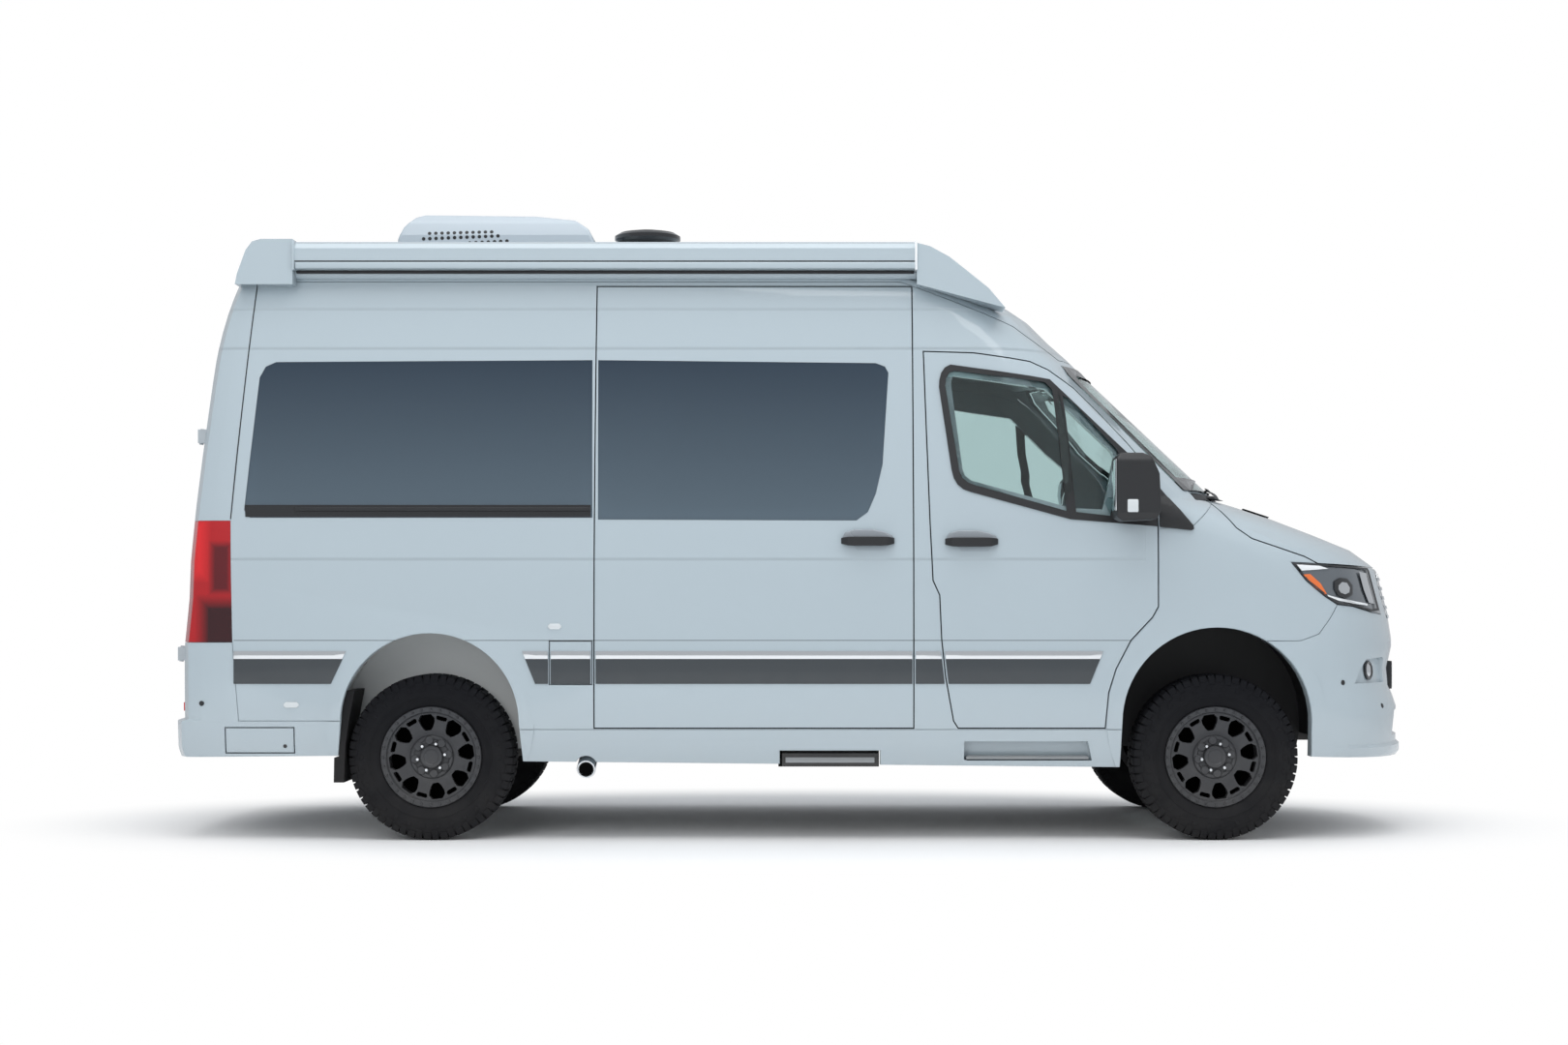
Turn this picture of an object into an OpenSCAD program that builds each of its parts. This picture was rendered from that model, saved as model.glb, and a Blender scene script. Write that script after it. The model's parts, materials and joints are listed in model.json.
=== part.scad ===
// Camper van with a high roof, sliding side door, roof awning and all-terrain tyres.
// Millimetres. +X is forward, +Y is the left side, +Z is up; the ground is z = 0.

/* [Body size] */
// Distance between the axles
wheelbase = 3665; // [3400:5:3900]
// Front axle to the front end
front_overhang = 1037; // [980:1:1100]
// Rear axle to the rear end
rear_overhang = 1242; // [1180:1:1320]
// Wall with its lining, outside to inside
wall = 62; // [40:1:80]
// Door leaf, outside to inside
door_wall = 50; // [30:1:60]
// Bonded glass
glass_wall = 7; // [4:0.5:10]
// Gap around doors and lids
shut_gap = 6; // [5:0.5:10]
// Gap between a closed door and its seal
seal_gap = 0.3; // [0.1:0.1:0.6]
// Half of the groove between fixed panels
seam = 1.8; // [0.5:0.1:3]

/* [Wheels] */
// Tyre radius
tyre_radius = 387; // [360:1:420]
// Tyre width
tyre_width = 244; // [205:1:285]
// Distance between the tyre centres of one axle
track = 1710; // [1600:2:1800]
// Height of the tread lugs
lug_height = 11; // [6:0.5:14]
// Lugs on each shoulder
lug_count = 26; // [16:1:40]
// Rim flange radius
rim_radius = 236; // [210:1:260]
// Stub axle radius
stub_radius = 30; // [20:1:45]
// Running clearance of a shaft in its bore
run_gap = 0.05; // [0.01:0.01:0.1]
// Distance of a kingpin inside its tyre's centre
kingpin_inset = 95; // [85:1:105]

/* [Wheel arches] */
// Radius of the front arch above that of the tyre
front_arch_gap = 54; // [45:1:80]
// Radius of the rear arch above that of the tyre
rear_arch_gap = 27; // [20:1:60]
// Height of the arch centres above the axles
arch_rise = 165; // [120:1:200]

/* [Roof] */
// Length of the awning case
awning_length = 2921; // [2000:1:3200]
// Height of the air conditioner above the roof
cooler_height = 262; // [180:1:330]

/* [Interior] */
// Top of the floor above the axles
floor_rise = 273; // [220:1:330]
// Thickness of the floor
floor_wall = 60; // [30:5:90]

/* [Hidden] */
half_length = (wheelbase + front_overhang + rear_overhang) / 2;
axle_f = half_length - front_overhang;
axle_r = rear_overhang - half_length;
wheel_y = track / 2;
front_arch = tyre_radius + front_arch_gap;
rear_arch = tyre_radius + rear_arch_gap;
arch_z = tyre_radius + arch_rise;
floor_z = tyre_radius + floor_rise;
rail_z = tyre_radius + 53;
brace_z = rail_z + 40;
pipe_z = rail_z - 44;
recess = glass_wall + 1;
seat_wall = door_wall + seal_gap;
lamp_wall = wall - 22;
column_radius = 28;
far = half_length + 128;
slide_r = axle_r + 765;
slide_f = axle_f - 1412;
step_x = slide_f - 613;
step_length = 447;
step_z = 405;
outlet_x = axle_r + 725;
awning_x = slide_f + 17;
awning_end = awning_x - awning_length;
kingpin_y = wheel_y - kingpin_inset;
rail_y = 435;
pad_y = rail_y;
bed_y = wheel_y - 205;
flare_y = 1018;
hinge_y = 812;
hinge_tilt = 5.25;
bumper_low = 405;
tail_low = 398;
sill_low = 336;
rim_depth = 14;
grille_half = 470;
lamp_end = 600;
rim_step = 13;
cowl_z = 1597;
roof_z = 2768;
cooler_top = roof_z + cooler_height;
cooler_foot = -cooler_height - 170;
$fn = 48;

// Body sections by height: setback of the front end
FRONT = [[330, 40], [375, 12], [390, 0], [425, 0], [440, 17], [604, 14], [660, 32], [707, 51],
    [792, 56], [896, 32], [934, 32], [1037, 47], [1132, 72], [1216, 92], [1262, 102], [1280, 118],
    [1300, 144], [1365, 237], [1440, 424], [1510, 611], [1571, 799], [1600, 897], [1618, 917],
    [1700, 1006], [2251, 1590], [2302, 1642], [2382, 1732], [2472, 1822], [2533, 1912], [2620, 2072],
    [2690, 2272], [2735, 2522], [2758, 2872], [2768, 3272]];
// Body sections by height: setback of the rear end
REAR = [[330, 30], [430, 0], [556, 0], [566, 34], [902, 34], [1122, 57], [1305, 63], [1556, 84],
    [1817, 112], [2138, 148], [2266, 164], [2366, 183], [2458, 205], [2549, 233], [2641, 267],
    [2667, 290], [2700, 340], [2730, 420], [2750, 540], [2762, 700], [2768, 1000]];
// Body sections by height: half width
HALF = [[330, 958], [380, 975], [450, 990], [520, 1000], [700, 1008], [933, 1010], [1200, 1010],
    [1311, 1008], [1500, 996], [1800, 970], [2100, 935], [2300, 908], [2490, 873], [2600, 850],
    [2640, 838], [2667, 770], [2700, 660], [2730, 520], [2750, 385], [2762, 250], [2768, 70]];
// Body sections by height: length of the front rounding, and its power
ROUND = [[330, 640], [1260, 690], [1440, 680], [1600, 640], [1800, 600], [2200, 520], [2400, 480], [2640, 450],
    [2768, 300]];
POWER = [[330, 2.25], [900, 2.1], [1260, 2.05], [1600, 2.3], [2768, 2.3]];
rear_round = 150;
rear_power = 3.4;
// Heights of the fine and the coarse sections
FINE = [330, 375, 390, 425, 440, 556, 566, 604, 660, 707, 792, 896, 934, 1037, 1132, 1216, 1262, 1280,
    1300, 1365, 1440, 1510, 1571, 1600, 1618, 1800, 2000, 2150, 2251, 2302, 2382, 2472, 2533, 2570,
    2605, 2640, 2667, 2700, 2730, 2750, 2762, 2768];
COARSE = [330, 556, 566, 896, 1262, 1300, 1440, 1571, 1600, 1618, 2000, 2251, 2533, 2640, 2700, 2750,
    2768];

function ramp(v, a, b) = min(1, max(0, (v - a) / (b - a)));
// Steps along one half of a section: [rear rounding, side, front rounding]
function steps(fine) = fine ? [6, 1, 9] : [4, 1, 5];
function arc_point(t, x, reach, width, power) =
    [x + reach * (1 - pow(cos(t), 2 / power)), -width * pow(sin(t), 2 / power)];
function half_ring(z, d, n) = let (
        w = max(lookup(z, HALF) - d, 15),
        xr = -half_length + lookup(z, REAR) + d,
        xf = half_length - lookup(z, FRONT) - d,
        af = lookup(z, ROUND),
        pf = lookup(z, POWER))
    concat(
        [for (i = [0:n[0]]) arc_point(90 * i / n[0], xr, rear_round, w, rear_power)],
        [for (i = [1:n[1]]) [xr + rear_round + (xf - af - xr - rear_round) * i / n[1], -w]],
        [for (i = [1:n[2]]) arc_point(90 - 90 * i / n[2], xf, -af, w, pf)]);
function ring(z, d, n) = let (
        h = half_ring(z, d, n),
        m = len(h) - 1,
        zz = z - d * ramp(z, 2300, 2600))
    concat([for (p = h) [p[0], p[1], zz]], [for (i = [m - 1:-1:1]) [h[i][0], -h[i][1], zz]]);

// Body solid, set in by d from the outer skin; an inner one is open below
module body(d = 0, fine = true) {
    n = steps(fine);
    levels = fine ? FINE : COARSE;
    count = 2 * (n[0] + n[1] + n[2]);
    rows = len(levels);
    base = d > 0 ? [for (p = ring(levels[0], d, n)) [p[0], p[1], p[2] - 60]] : [];
    rings = concat(base, [for (z = levels) each ring(z, d, n)]);
    k = d > 0 ? rows + 1 : rows;
    // Each face is split in two, the left half as the mirror of the right half
    sides = [for (r = [0:k - 2], i = [0:count - 1]) let (
            a = r * count + i,
            b = r * count + (i + 1) % count)
        each i < count / 2
            ? [[a, a + count, b + count], [a, b + count, b]]
            : [[a, a + count, b], [b, a + count, b + count]]];
    bottom = [[for (i = [0:count - 1]) i]];
    top = [[for (i = [count - 1:-1:0]) (k - 1) * count + i]];
    polyhedron(points = rings, faces = concat(bottom, sides, top));
}
module mesh() {
    resize([0, 0, 0]) children();
}
// Side-view outline swept across the van
module across(y0 = -1300, y1 = -0.5) {
    translate([0, y1, 0]) rotate([90, 0, 0]) linear_extrude(y1 - y0) children();
}
// Front-view outline swept along the van
module along(x0, x1) {
    translate([x0, 0, 0]) rotate([90, 0, 90]) linear_extrude(x1 - x0) children();
}
module left(on = true) {
    if (on)
        mirror([0, 1, 0]) children();
    else
        children();
}
module block(x, y, z) {
    translate([x[0], y[0], z[0]]) cube([x[1] - x[0], y[1] - y[0], z[1] - z[0]]);
}

// Side-view outlines of the right side
module front_door_area() {
    translate([axle_f, 0]) polygon([[-1363, 2288], [-1352, 1935], [-1336, 1482], [-1323, 1212],
        [-1292, 1144], [-1283, 942], [-1264, 761], [-1227, 558], [-1205, 524], [-521, 524],
        [-506, 689], [-472, 800], [-403, 933], [-302, 1041], [-275, 1090], [-275, 1459], [-285, 1692],
        [-316, 1762], [-399, 1864], [-522, 1998], [-645, 2123], [-770, 2209], [-862, 2245],
        [-1127, 2281]]);
}
module sliding_door_area() {
    polygon([[slide_r, 524], [slide_f, 524], [slide_f - 2, 2600], [slide_r + 3, 2600]]);
}
module quarter_glass_area() {
    polygon([[axle_r - 807, 2164], [axle_r - 780, 2215], [axle_r - 732, 2237], [slide_r - 14, 2246],
        [slide_r - 8, 1504], [axle_r - 837, 1504], [axle_r - 865, 1540]]);
}
module sliding_glass_area() {
    polygon([[slide_r + 13, 2246], [slide_f - 174, 2232], [slide_f - 131, 2216], [slide_f - 115, 2186],
        [slide_f - 144, 1753], [slide_f - 176, 1617], [slide_f - 213, 1530], [slide_f - 266, 1491],
        [slide_r + 18, 1495]]);
}
module front_glass_area() {
    translate([axle_f, 0]) polygon([[-1280, 2131], [-1270, 2190], [-1235, 2219], [-771, 2154],
        [-441, 1839], [-425, 1790], [-495, 1496], [-683, 1504], [-1164, 1638], [-1210, 1675],
        [-1227, 1721]]);
}
module wing_area() {
    translate([axle_f, 0]) polygon([[-518, 518], [-518, 524], [-503, 689], [-469, 800], [-400, 930],
        [-299, 1038], [-272, 1088], [-272, 1452], [-105, 1472], [10, 1578], [97, 1458], [165, 1408],
        [333, 1352], [416, 1325], [482, 1292], [346, 1298], [416, 1212], [515, 1134], [576, 1099],
        [531, 1031], [476, 963], [386, 931], [0, 931], [0, 518]]);
}
module bonnet_area() {
    translate([axle_f, 0]) polygon([[10, 1578], [97, 1458], [165, 1408], [333, 1352], [416, 1325],
        [482, 1292], [far - axle_f, 1264], [far - axle_f, cowl_z], [-5, cowl_z]]);
}
module nose_area() {
    translate([axle_f, 0]) polygon([[346, 1298], [482, 1292], [far - axle_f, 1264], [far - axle_f, 1012],
        [780, 1062], [665, 1090], [576, 1099], [515, 1134], [416, 1212]]);
}
module bumper_area() {
    translate([axle_f, 0]) polygon([[0, 931], [386, 931], [476, 963], [531, 1031], [576, 1099],
        [665, 1090], [780, 1062], [far - axle_f, 1012], [far - axle_f, bumper_low - 40],
        [0, bumper_low]]);
}
module rear_bumper_area() {
    translate([axle_r, 0]) polygon([[-far - axle_r, tail_low - 12], [0, tail_low], [0, 558], [-888, 558],
        [-916, 924], [-far - axle_r, 924]]);
}
module tail_lamp_area() {
    translate([axle_r, 0]) polygon([[-far - axle_r, 1491], [-927, 1491], [-916, 924],
        [-far - axle_r, 924]]);
}
module sill_area() {
    polygon([[axle_r, sill_low + 36], [axle_f, sill_low], [axle_f, 518], [axle_r, 518]]);
}
module roof_area() {
    polygon([[-far, 2622], [axle_f - 1465, 2622], [axle_f - 925, 2420], [axle_f - 703, 2268],
        [axle_f - 235, 2268], [axle_f - 235, 3000], [-far, 3000]]);
}
module cowl_area() {
    translate([axle_f, 0]) polygon([[-65, cowl_z], [365, cowl_z], [365, 1628], [-85, 1628]]);
}
module side_area() {
    difference() {
        polygon([[-far, 518], [axle_f - 272, 518], [axle_f - 272, 1452], [axle_f - 105, 1472],
            [axle_f + 10, 1578], [axle_f - 5, cowl_z], [axle_f + 365, 1628], [axle_f + 365, 3000],
            [-far, 3000]]);
        roof_area();
        rear_bumper_area();
        offset(delta = 0.01) wing_area();
        cowl_area();
    }
}
module arches() {
    translate([axle_f, arch_z]) circle(r = front_arch, $fn = 72);
    translate([axle_r, arch_z]) circle(r = rear_arch, $fn = 72);
    polygon([[axle_f - front_arch, arch_z], [axle_f + front_arch, arch_z],
        [axle_f + front_arch + 10, 100], [axle_f - front_arch - 16, 100]]);
    polygon([[axle_r - rear_arch, arch_z], [axle_r + rear_arch, arch_z],
        [axle_r + rear_arch + 42, 100], [axle_r - rear_arch - 42, 100]]);
}
module utility_area() {
    polygon([[slide_r - 207, 728], [slide_r - 9, 728], [slide_r - 9, 930], [slide_r - 207, 930]]);
}
module bumper_hatch_area() {
    translate([axle_r, 0]) polygon([[-952, 408], [-632, 408], [-632, 527], [-952, 527]]);
}
module step_area() {
    polygon([[step_x - 5, 200], [step_x + step_length + 5, 200], [step_x + step_length + 5, step_z + 8],
        [step_x - 5, step_z + 8]]);
}
module foothold_area() {
    translate([axle_f, 0]) polygon([[-1177, 376], [-1160, 372], [-580, 372], [-600, 463], [-1177, 463]]);
}
module pillar_groove() {
    translate([axle_r, 0]) polygon([[-836, 2616], [-832, 2616], [-882, 2026], [-925, 1497], [-929, 1497],
        [-886, 2026]]);
}
// Front-view outlines
module windscreen_area() {
    polygon([[-805, 1640], [805, 1640], [800, 1700], [745, 2190], [715, 2240], [-715, 2240], [-745, 2190],
        [-800, 1700]]);
}
module rear_door_area() {
    polygon([[-800, 590], [-4, 590], [-4, 2500], [-700, 2500], [-770, 2440], [-790, 2350], [-800, 2100]]);
}
module rear_opening() {
    rear_door_area();
    mirror([1, 0]) rear_door_area();
    translate([-5, 590]) square([10, 1910]);
}
module rear_glass_area() {
    polygon([[-740, 1520], [-90, 1520], [-90, 2240], [-690, 2240], [-725, 2200]]);
}

// Raised lips of the right wheel arches
module lips() {
    for (a = [[axle_f, front_arch], [axle_r, rear_arch]])
        translate([a[0], 0, arch_z]) rotate([90, 0, 0]) rotate_extrude($fn = 60)
            polygon([[a[1] - 30, 930], [a[1] - 30, flare_y], [a[1] + 34, flare_y],
                [a[1] + 72, flare_y - 16], [a[1] + 72, 930]]);
}
// Fixed panel on the right side: full skin inside its seams, then a small step down to each seam
module panel(y0 = -1300, y1 = 0, lip = false) {
    difference() {
        union() {
            intersection() {
                union() {
                    body();
                    if (lip)
                        intersection() {
                            body(-10, false);
                            lips();
                        }
                }
                across(y0, y1) offset(delta = -seam) children();
            }
            intersection() {
                body(6);
                across(y0, y1) children();
            }
        }
        body(wall, false);
    }
}
// Space of a door leaf with its gap, down to its seal
module leaf_space(depth) {
    difference() {
        children();
        body(depth, false);
    }
}
module door_spaces(sliding) {
    leaf_space(seat_wall) across() offset(delta = shut_gap / 2) front_door_area();
    across() offset(delta = -18) front_door_area();
    // The leaf's front edge turns inwards here as the door opens
    across() intersection() {
        offset(delta = shut_gap / 2) front_door_area();
        translate([axle_f - 345, 1440]) square([100, 350]);
    }
    if (sliding) {
        leaf_space(seat_wall) across() offset(delta = shut_gap / 2) sliding_door_area();
        across() offset(delta = -18) sliding_door_area();
    }
}
module rear_spaces() {
    leaf_space(seat_wall) along(-far, axle_r - 670) offset(delta = shut_gap / 2) rear_opening();
    along(-far, axle_r - 670) offset(delta = -18) rear_opening();
}
module glass_space() {
    glass_recess() across() children();
    across() offset(delta = -45) children();
}
module glass_recess() {
    difference() {
        children();
        body(recess);
    }
}
// Pane set in its recess
module pane() {
    difference() {
        intersection() {
            body(1);
            children();
        }
        body(recess);
    }
}
module lid_space(depth) {
    leaf_space(depth + seal_gap) across() offset(delta = shut_gap / 2) children();
}
module lid(depth) {
    difference() {
        intersection() {
            body();
            across() offset(delta = -shut_gap / 2) children();
        }
        body(depth, false);
    }
}

module side(sliding) {
    mesh() difference() {
        panel(lip = true) difference() {
            side_area();
            arches();
        }
        door_spaces(sliding);
        rear_spaces();
        glass_space() quarter_glass_area();
        leaf_space(5) across() pillar_groove();
        if (!sliding)
            glass_space() sliding_glass_area();
        if (sliding)
            lid_space(25) utility_area();
        along(axle_f - 935, axle_f + 365) windscreen_area();
        difference() {
            across(-1300, -812) tail_lamp_area();
            body(lamp_wall, false);
        }
    }
}
module side_left() {
    color("lightsteelblue") left() side(false);
}
module side_right() {
    color("lightsteelblue") side(true);
}
module roof() {
    color("lightsteelblue") mesh() difference() {
        panel(-1300, 1300) roof_area();
        along(axle_f - 935, axle_f + 365) windscreen_area();
    }
}
module wing() {
    mesh() difference() {
        panel(lip = true) difference() {
            wing_area();
            arches();
        }
        leaf_space(seat_wall) across() offset(delta = shut_gap / 2) front_door_area();
        leaf_space(door_wall + 5) across() offset(delta = shut_gap / 2) bonnet_area();
    }
}
module wing_left() {
    color("lightsteelblue") left() wing();
}
module wing_right() {
    color("lightsteelblue") wing();
}
module cowl() {
    color("dimgray") mesh() {
        panel(-1300, 1300) cowl_area();
        difference() {
            intersection() {
                body(seat_wall, false);
                across(-1300, 1300) difference() {
                    translate([axle_f, 0]) polygon([[-35, 1562], [365, 1562], [365, 1600], [-35, 1600]]);
                    offset(delta = 1) wing_area();
                    offset(delta = 1) side_area();
                }
            }
            body(wall, false);
        }
    }
}
// The rear edge stands clear of the cowl, so that the bonnet lifts past it
module bonnet() {
    color("lightsteelblue") mesh() difference() {
        intersection() {
            body();
            across(-1300, 1300) offset(delta = -shut_gap / 2) bonnet_area();
        }
        body(door_wall, false);
        linear_extrude(cowl_z + 100)
            polygon([for (p = ring(cowl_z, -shut_gap, steps(true))) [p[0], p[1]]]);
    }
}
module grille() {
    color("dimgray") mesh() difference() {
        panel(-grille_half, grille_half) nose_area();
        for (z = [1050, 1096, 1142, 1188])
            leaf_space(30) along(axle_f + 365, far) translate([-430, z]) square([860, 26]);
        leaf_space(door_wall + 5) across(-1300, 1300) offset(delta = shut_gap / 2) bonnet_area();
    }
}
module headlamps() {
    color("gainsboro") mesh() for (s = [0, 1]) left(s == 1) difference() {
        panel(-1300, -lamp_end) nose_area();
        leaf_space(door_wall + 5) across() offset(delta = shut_gap / 2) bonnet_area();
    }
}
module front_bumper() {
    color("lightsteelblue") mesh() difference() {
        union() {
            panel(-1300, 1300) bumper_outline();
            for (s = [0, 1]) left(s == 1) {
                panel(-1300, -900, true) bumper_outline();
                panel(-lamp_end, -grille_half) {
                    nose_area();
                    translate([0, -20]) nose_area();
                }
            }
        }
        leaf_space(door_wall + 5) across(-1300, 1300) offset(delta = shut_gap / 2) bonnet_area();
        leaf_space(40) along(axle_f + 365, far) intake_area();
        for (s = [0, 1]) left(s == 1) leaf_space(34) along(axle_f + 365, far) fog_area();
    }
}
module bumper_outline() {
    difference() {
        bumper_area();
        arches();
    }
}
module intake_area() {
    polygon([[-600, 470], [600, 470], [540, 590], [-540, 590]]);
}
module fog_area() {
    polygon([[-885, 728], [-600, 728], [-610, 838], [-650, 848], [-810, 840]]);
}
module rear_bumper() {
    color("lightsteelblue") mesh() difference() {
        union() {
            panel(-1300, 1300) rear_bumper_outline();
            for (s = [0, 1]) left(s == 1) panel(-1300, -900, true) rear_bumper_outline();
        }
        along(-far, axle_r - 670) offset(delta = shut_gap / 2) rear_opening();
        lid_space(25) bumper_hatch_area();
    }
}
module rear_bumper_outline() {
    difference() {
        rear_bumper_area();
        arches();
    }
}
module sills() {
    color("lightsteelblue") mesh() for (s = [0, 1]) left(s == 1) difference() {
        panel(lip = true) difference() {
            sill_area();
            arches();
            if (s == 0) {
                offset(delta = shut_gap) step_area();
                translate([outlet_x, pipe_z - 54]) circle(r = 52);
            }
        }
        door_spaces(s == 0);
        leaf_space(45) across() foothold_area();
    }
}
module tail_lamps() {
    color("firebrick") mesh() for (s = [0, 1]) left(s == 1) difference() {
        intersection() {
            body();
            across(-1300, -814) offset(delta = -1) tail_lamp_area();
        }
        body(lamp_wall, false);
        along(-far, axle_r - 670) offset(delta = shut_gap / 2) rear_opening();
    }
}
module windscreen() {
    color("slategray") mesh() difference() {
        intersection() {
            body(2);
            along(axle_f - 935, axle_f + 365) windscreen_area();
        }
        body(2 + 2 * glass_wall);
    }
}
module side_glass() {
    color("darkslategray") mesh() {
        pane() across() offset(delta = -1) quarter_glass_area();
        left() pane() across() offset(delta = -1) quarter_glass_area();
        left() pane() across() offset(delta = -1) sliding_glass_area();
    }
}
module sliding_door() {
    color("lightsteelblue") mesh() difference() {
        lid(door_wall) sliding_door_area();
        glass_space() sliding_glass_area();
    }
}
module sliding_glass() {
    color("darkslategray") mesh() pane() across() offset(delta = -1) sliding_glass_area();
}
module front_door() {
    mesh() difference() {
        lid(door_wall) front_door_area();
        glass_space() front_glass_area();
    }
}
module door_front_left() {
    color("lightsteelblue") left() front_door();
}
module door_front_right() {
    color("lightsteelblue") front_door();
}
module door_glass_left() {
    color("slategray") left() mesh() pane() across() offset(delta = -1) front_glass_area();
}
module door_glass_right() {
    color("slategray") mesh() pane() across() offset(delta = -1) front_glass_area();
}
module door_mirror() {
    mesh() difference() {
        union() {
            intersection() {
                across(-1215, -1045) translate([axle_f, 0]) polygon([[-495, 1500], [-465, 1482],
                    [-310, 1490], [-291, 1530], [-299, 1700], [-335, 1780], [-375, 1796], [-475, 1796],
                    [-495, 1770]]);
                along(axle_f - 535, axle_f - 235) polygon([[-1195, 1470], [-1060, 1470], [-1045, 1500],
                    [-1045, 1780], [-1065, 1800], [-1190, 1800], [-1215, 1760], [-1215, 1520]]);
            }
            block([axle_f - 405, axle_f - 325], [-1060, -920], [1500, 1565]);
        }
        body();
    }
}
module mirror_left() {
    color("black") left() door_mirror();
}
module mirror_right() {
    color("black") door_mirror();
}
module rear_door() {
    mesh() difference() {
        intersection() {
            body();
            along(-far, axle_r - 670) offset(delta = -shut_gap / 2) rear_door_area();
        }
        body(door_wall, false);
        intersection() {
            body(rim_depth, false);
            along(-far, axle_r - 670) difference() {
                rear_door_area();
                offset(delta = -rim_step) rear_door_area();
            }
        }
        glass_recess() along(-far, axle_r - 670) rear_glass_area();
        along(-far, axle_r - 670) offset(delta = -45) rear_glass_area();
    }
}
module door_rear_left() {
    color("lightsteelblue") left() rear_door();
}
module door_rear_right() {
    color("lightsteelblue") rear_door();
}
module rear_glass() {
    mesh() pane() along(-far, axle_r - 670) offset(delta = -1) rear_glass_area();
}
module rear_glass_left() {
    color("darkslategray") left() rear_glass();
}
module rear_glass_right() {
    color("darkslategray") rear_glass();
}
// Hinges of the rear doors: pins on the door axes, with leaves on the body corners
module rear_hinges() {
    color("silver") for (s = [0, 1], z = [868, 1893]) left(s == 1) {
        hinge_x = axle_r - 1196 + (z - 900) * tan(hinge_tilt);
        translate([hinge_x, -hinge_y, z]) rotate([0, hinge_tilt, 0])
            cylinder(r = 10, h = 74, center = true);
        mesh() difference() {
            block([hinge_x - 7, hinge_x + 60], [-hinge_y - 52, -hinge_y - 2], [z - 32, z + 32]);
            body();
        }
    }
}
module utility_hatch() {
    color("lightsteelblue") mesh() lid(25) utility_area();
}
module bumper_hatch() {
    color("lightsteelblue") mesh() lid(25) bumper_hatch_area();
}
module entry_step() {
    color("black") block([step_x, step_x + step_length], [-965, -560], [step_z - 60, step_z]);
}

// Roof equipment
module awning() {
    color("lightsteelblue") mesh() {
        along(awning_end, awning_x) polygon([[-795, 2668], [-900, 2668], [-925, 2680], [-938, 2705],
            [-938, 2768], [-925, 2790], [-890, 2804], [-815, 2804], [-795, 2790]]);
        difference() {
            along(awning_end, awning_x) polygon([[-700, 2668.5], [-880, 2668.5], [-872, 2648],
                [-845, 2636], [-700, 2632]]);
            body();
        }
    }
}
module awning_fairings() {
    color("lightsteelblue") mesh() difference() {
        union() {
            across(-935, -770) translate([awning_end, 0]) polygon([[-271, 2600], [-261, 2650],
                [-221, 2760], [-191, 2800], [-151, 2812], [-1, 2812], [-1, 2600]]);
            across(-935, -740) translate([awning_x, 0]) polygon([[1, 2794], [63, 2778], [154, 2728],
                [246, 2655], [337, 2582], [415, 2490], [1, 2600]]);
        }
        body();
    }
}
module roof_cooler() {
    color("white") mesh() difference() {
        intersection() {
            across(-350, 350) translate([axle_r, cooler_top]) polygon([[-255, cooler_foot], [-255, -130],
                [-228, -70], [-175, -15], [-130, 0], [420, -8], [616, -32], [685, -80], [715, -150],
                [715, cooler_foot]]);
            along(axle_r - 370, axle_r + 830) translate([0, cooler_top]) polygon([[-350, cooler_foot],
                [350, cooler_foot], [350, -110], [325, -45], [270, 1], [-270, 1], [-325, -45],
                [-350, -110]]);
        }
        body();
    }
}
module roof_antenna() {
    color("dimgray") mesh() difference() {
        translate([axle_r + 955, 0, 0]) rotate_extrude($fn = 30) polygon([[0, 2700], [95, 2700],
            [90, 2900], [140, 2925], [164, 2945], [164, 2960], [140, 2978], [70, 2990], [0, 2992]]);
        body();
    }
}

// Structure below
module floor() {
    color("gray") mesh() difference() {
        union() {
            intersection() {
                body(wall + 0.2, false);
                union() {
                    block([axle_r - 1170, axle_f - 495], [-1000, 1000], [floor_z - floor_wall, floor_z]);
                    block([axle_f - 495, axle_f - 215], [-490, 490], [floor_z - floor_wall, floor_z]);
                    block([axle_f - 245, axle_f - 215], [-1000, 1000], [floor_z - floor_wall, 1560]);
                    for (s = [-1, 1]) {
                        wheel_house(axle_r, s, wheel_y - 165, rear_arch + 30);
                        wheel_house(axle_f, s, wheel_y - 360, front_arch + 50);
                    }
                }
            }
        }
        for (s = [-1, 1]) {
            wheel_hollow(axle_r, s, wheel_y - 159, rear_arch + 26);
            wheel_hollow(axle_f, s, wheel_y - 354, front_arch + 44);
            translate([axle_f, s * (wheel_y - 355), tyre_radius + 172])
                cube([72, 40, 38], center = true);
            translate([axle_r, s * (wheel_y - 165), tyre_radius + 33])
                cube([130, 40, 60], center = true);
        }
    }
}
module wheel_house(x, s, y, r) {
    intersection() {
        translate([x, s * y, arch_z]) rotate([-90 * s, 0, 0]) cylinder(r = r, h = 600);
        block([x - r, x + r], [-1100, 1100], [arch_z - 140, arch_z + 648]);
    }
}
module wheel_hollow(x, s, y, r) {
    translate([x, s * y, arch_z]) rotate([-90 * s, 0, 0]) cylinder(r = r, h = 600);
    translate([x - r, s > 0 ? y : -y - 600, 0]) cube([2 * r, 600, arch_z]);
}
module chassis() {
    color("dimgray") {
        for (s = [-1, 1]) {
            block([axle_r - 1130, axle_f + 765], [s * rail_y - 35, s * rail_y + 35],
                [rail_z, floor_z - floor_wall]);
            for (x = [axle_r + 830, axle_f - 685])
                block([x - 40, x + 40], [s * pad_y - 30, s * pad_y + 30], [rail_z - 15, rail_z + 0.5]);
        }
        block([step_x, step_x + step_length], [-900, -465], [step_z + seal_gap, rail_z + 5]);
        for (x = [axle_r - 970, axle_r + 830, axle_f - 1835, axle_f - 785, axle_f + 265])
            block([x - 40, x + 40], [-410, 410], [brace_z, brace_z + 80]);
    }
}
module engine() {
    color("gray") block([axle_f - 135, axle_f + 625], [-320, 320], [brace_z + 80, brace_z + 640]);
}
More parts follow.
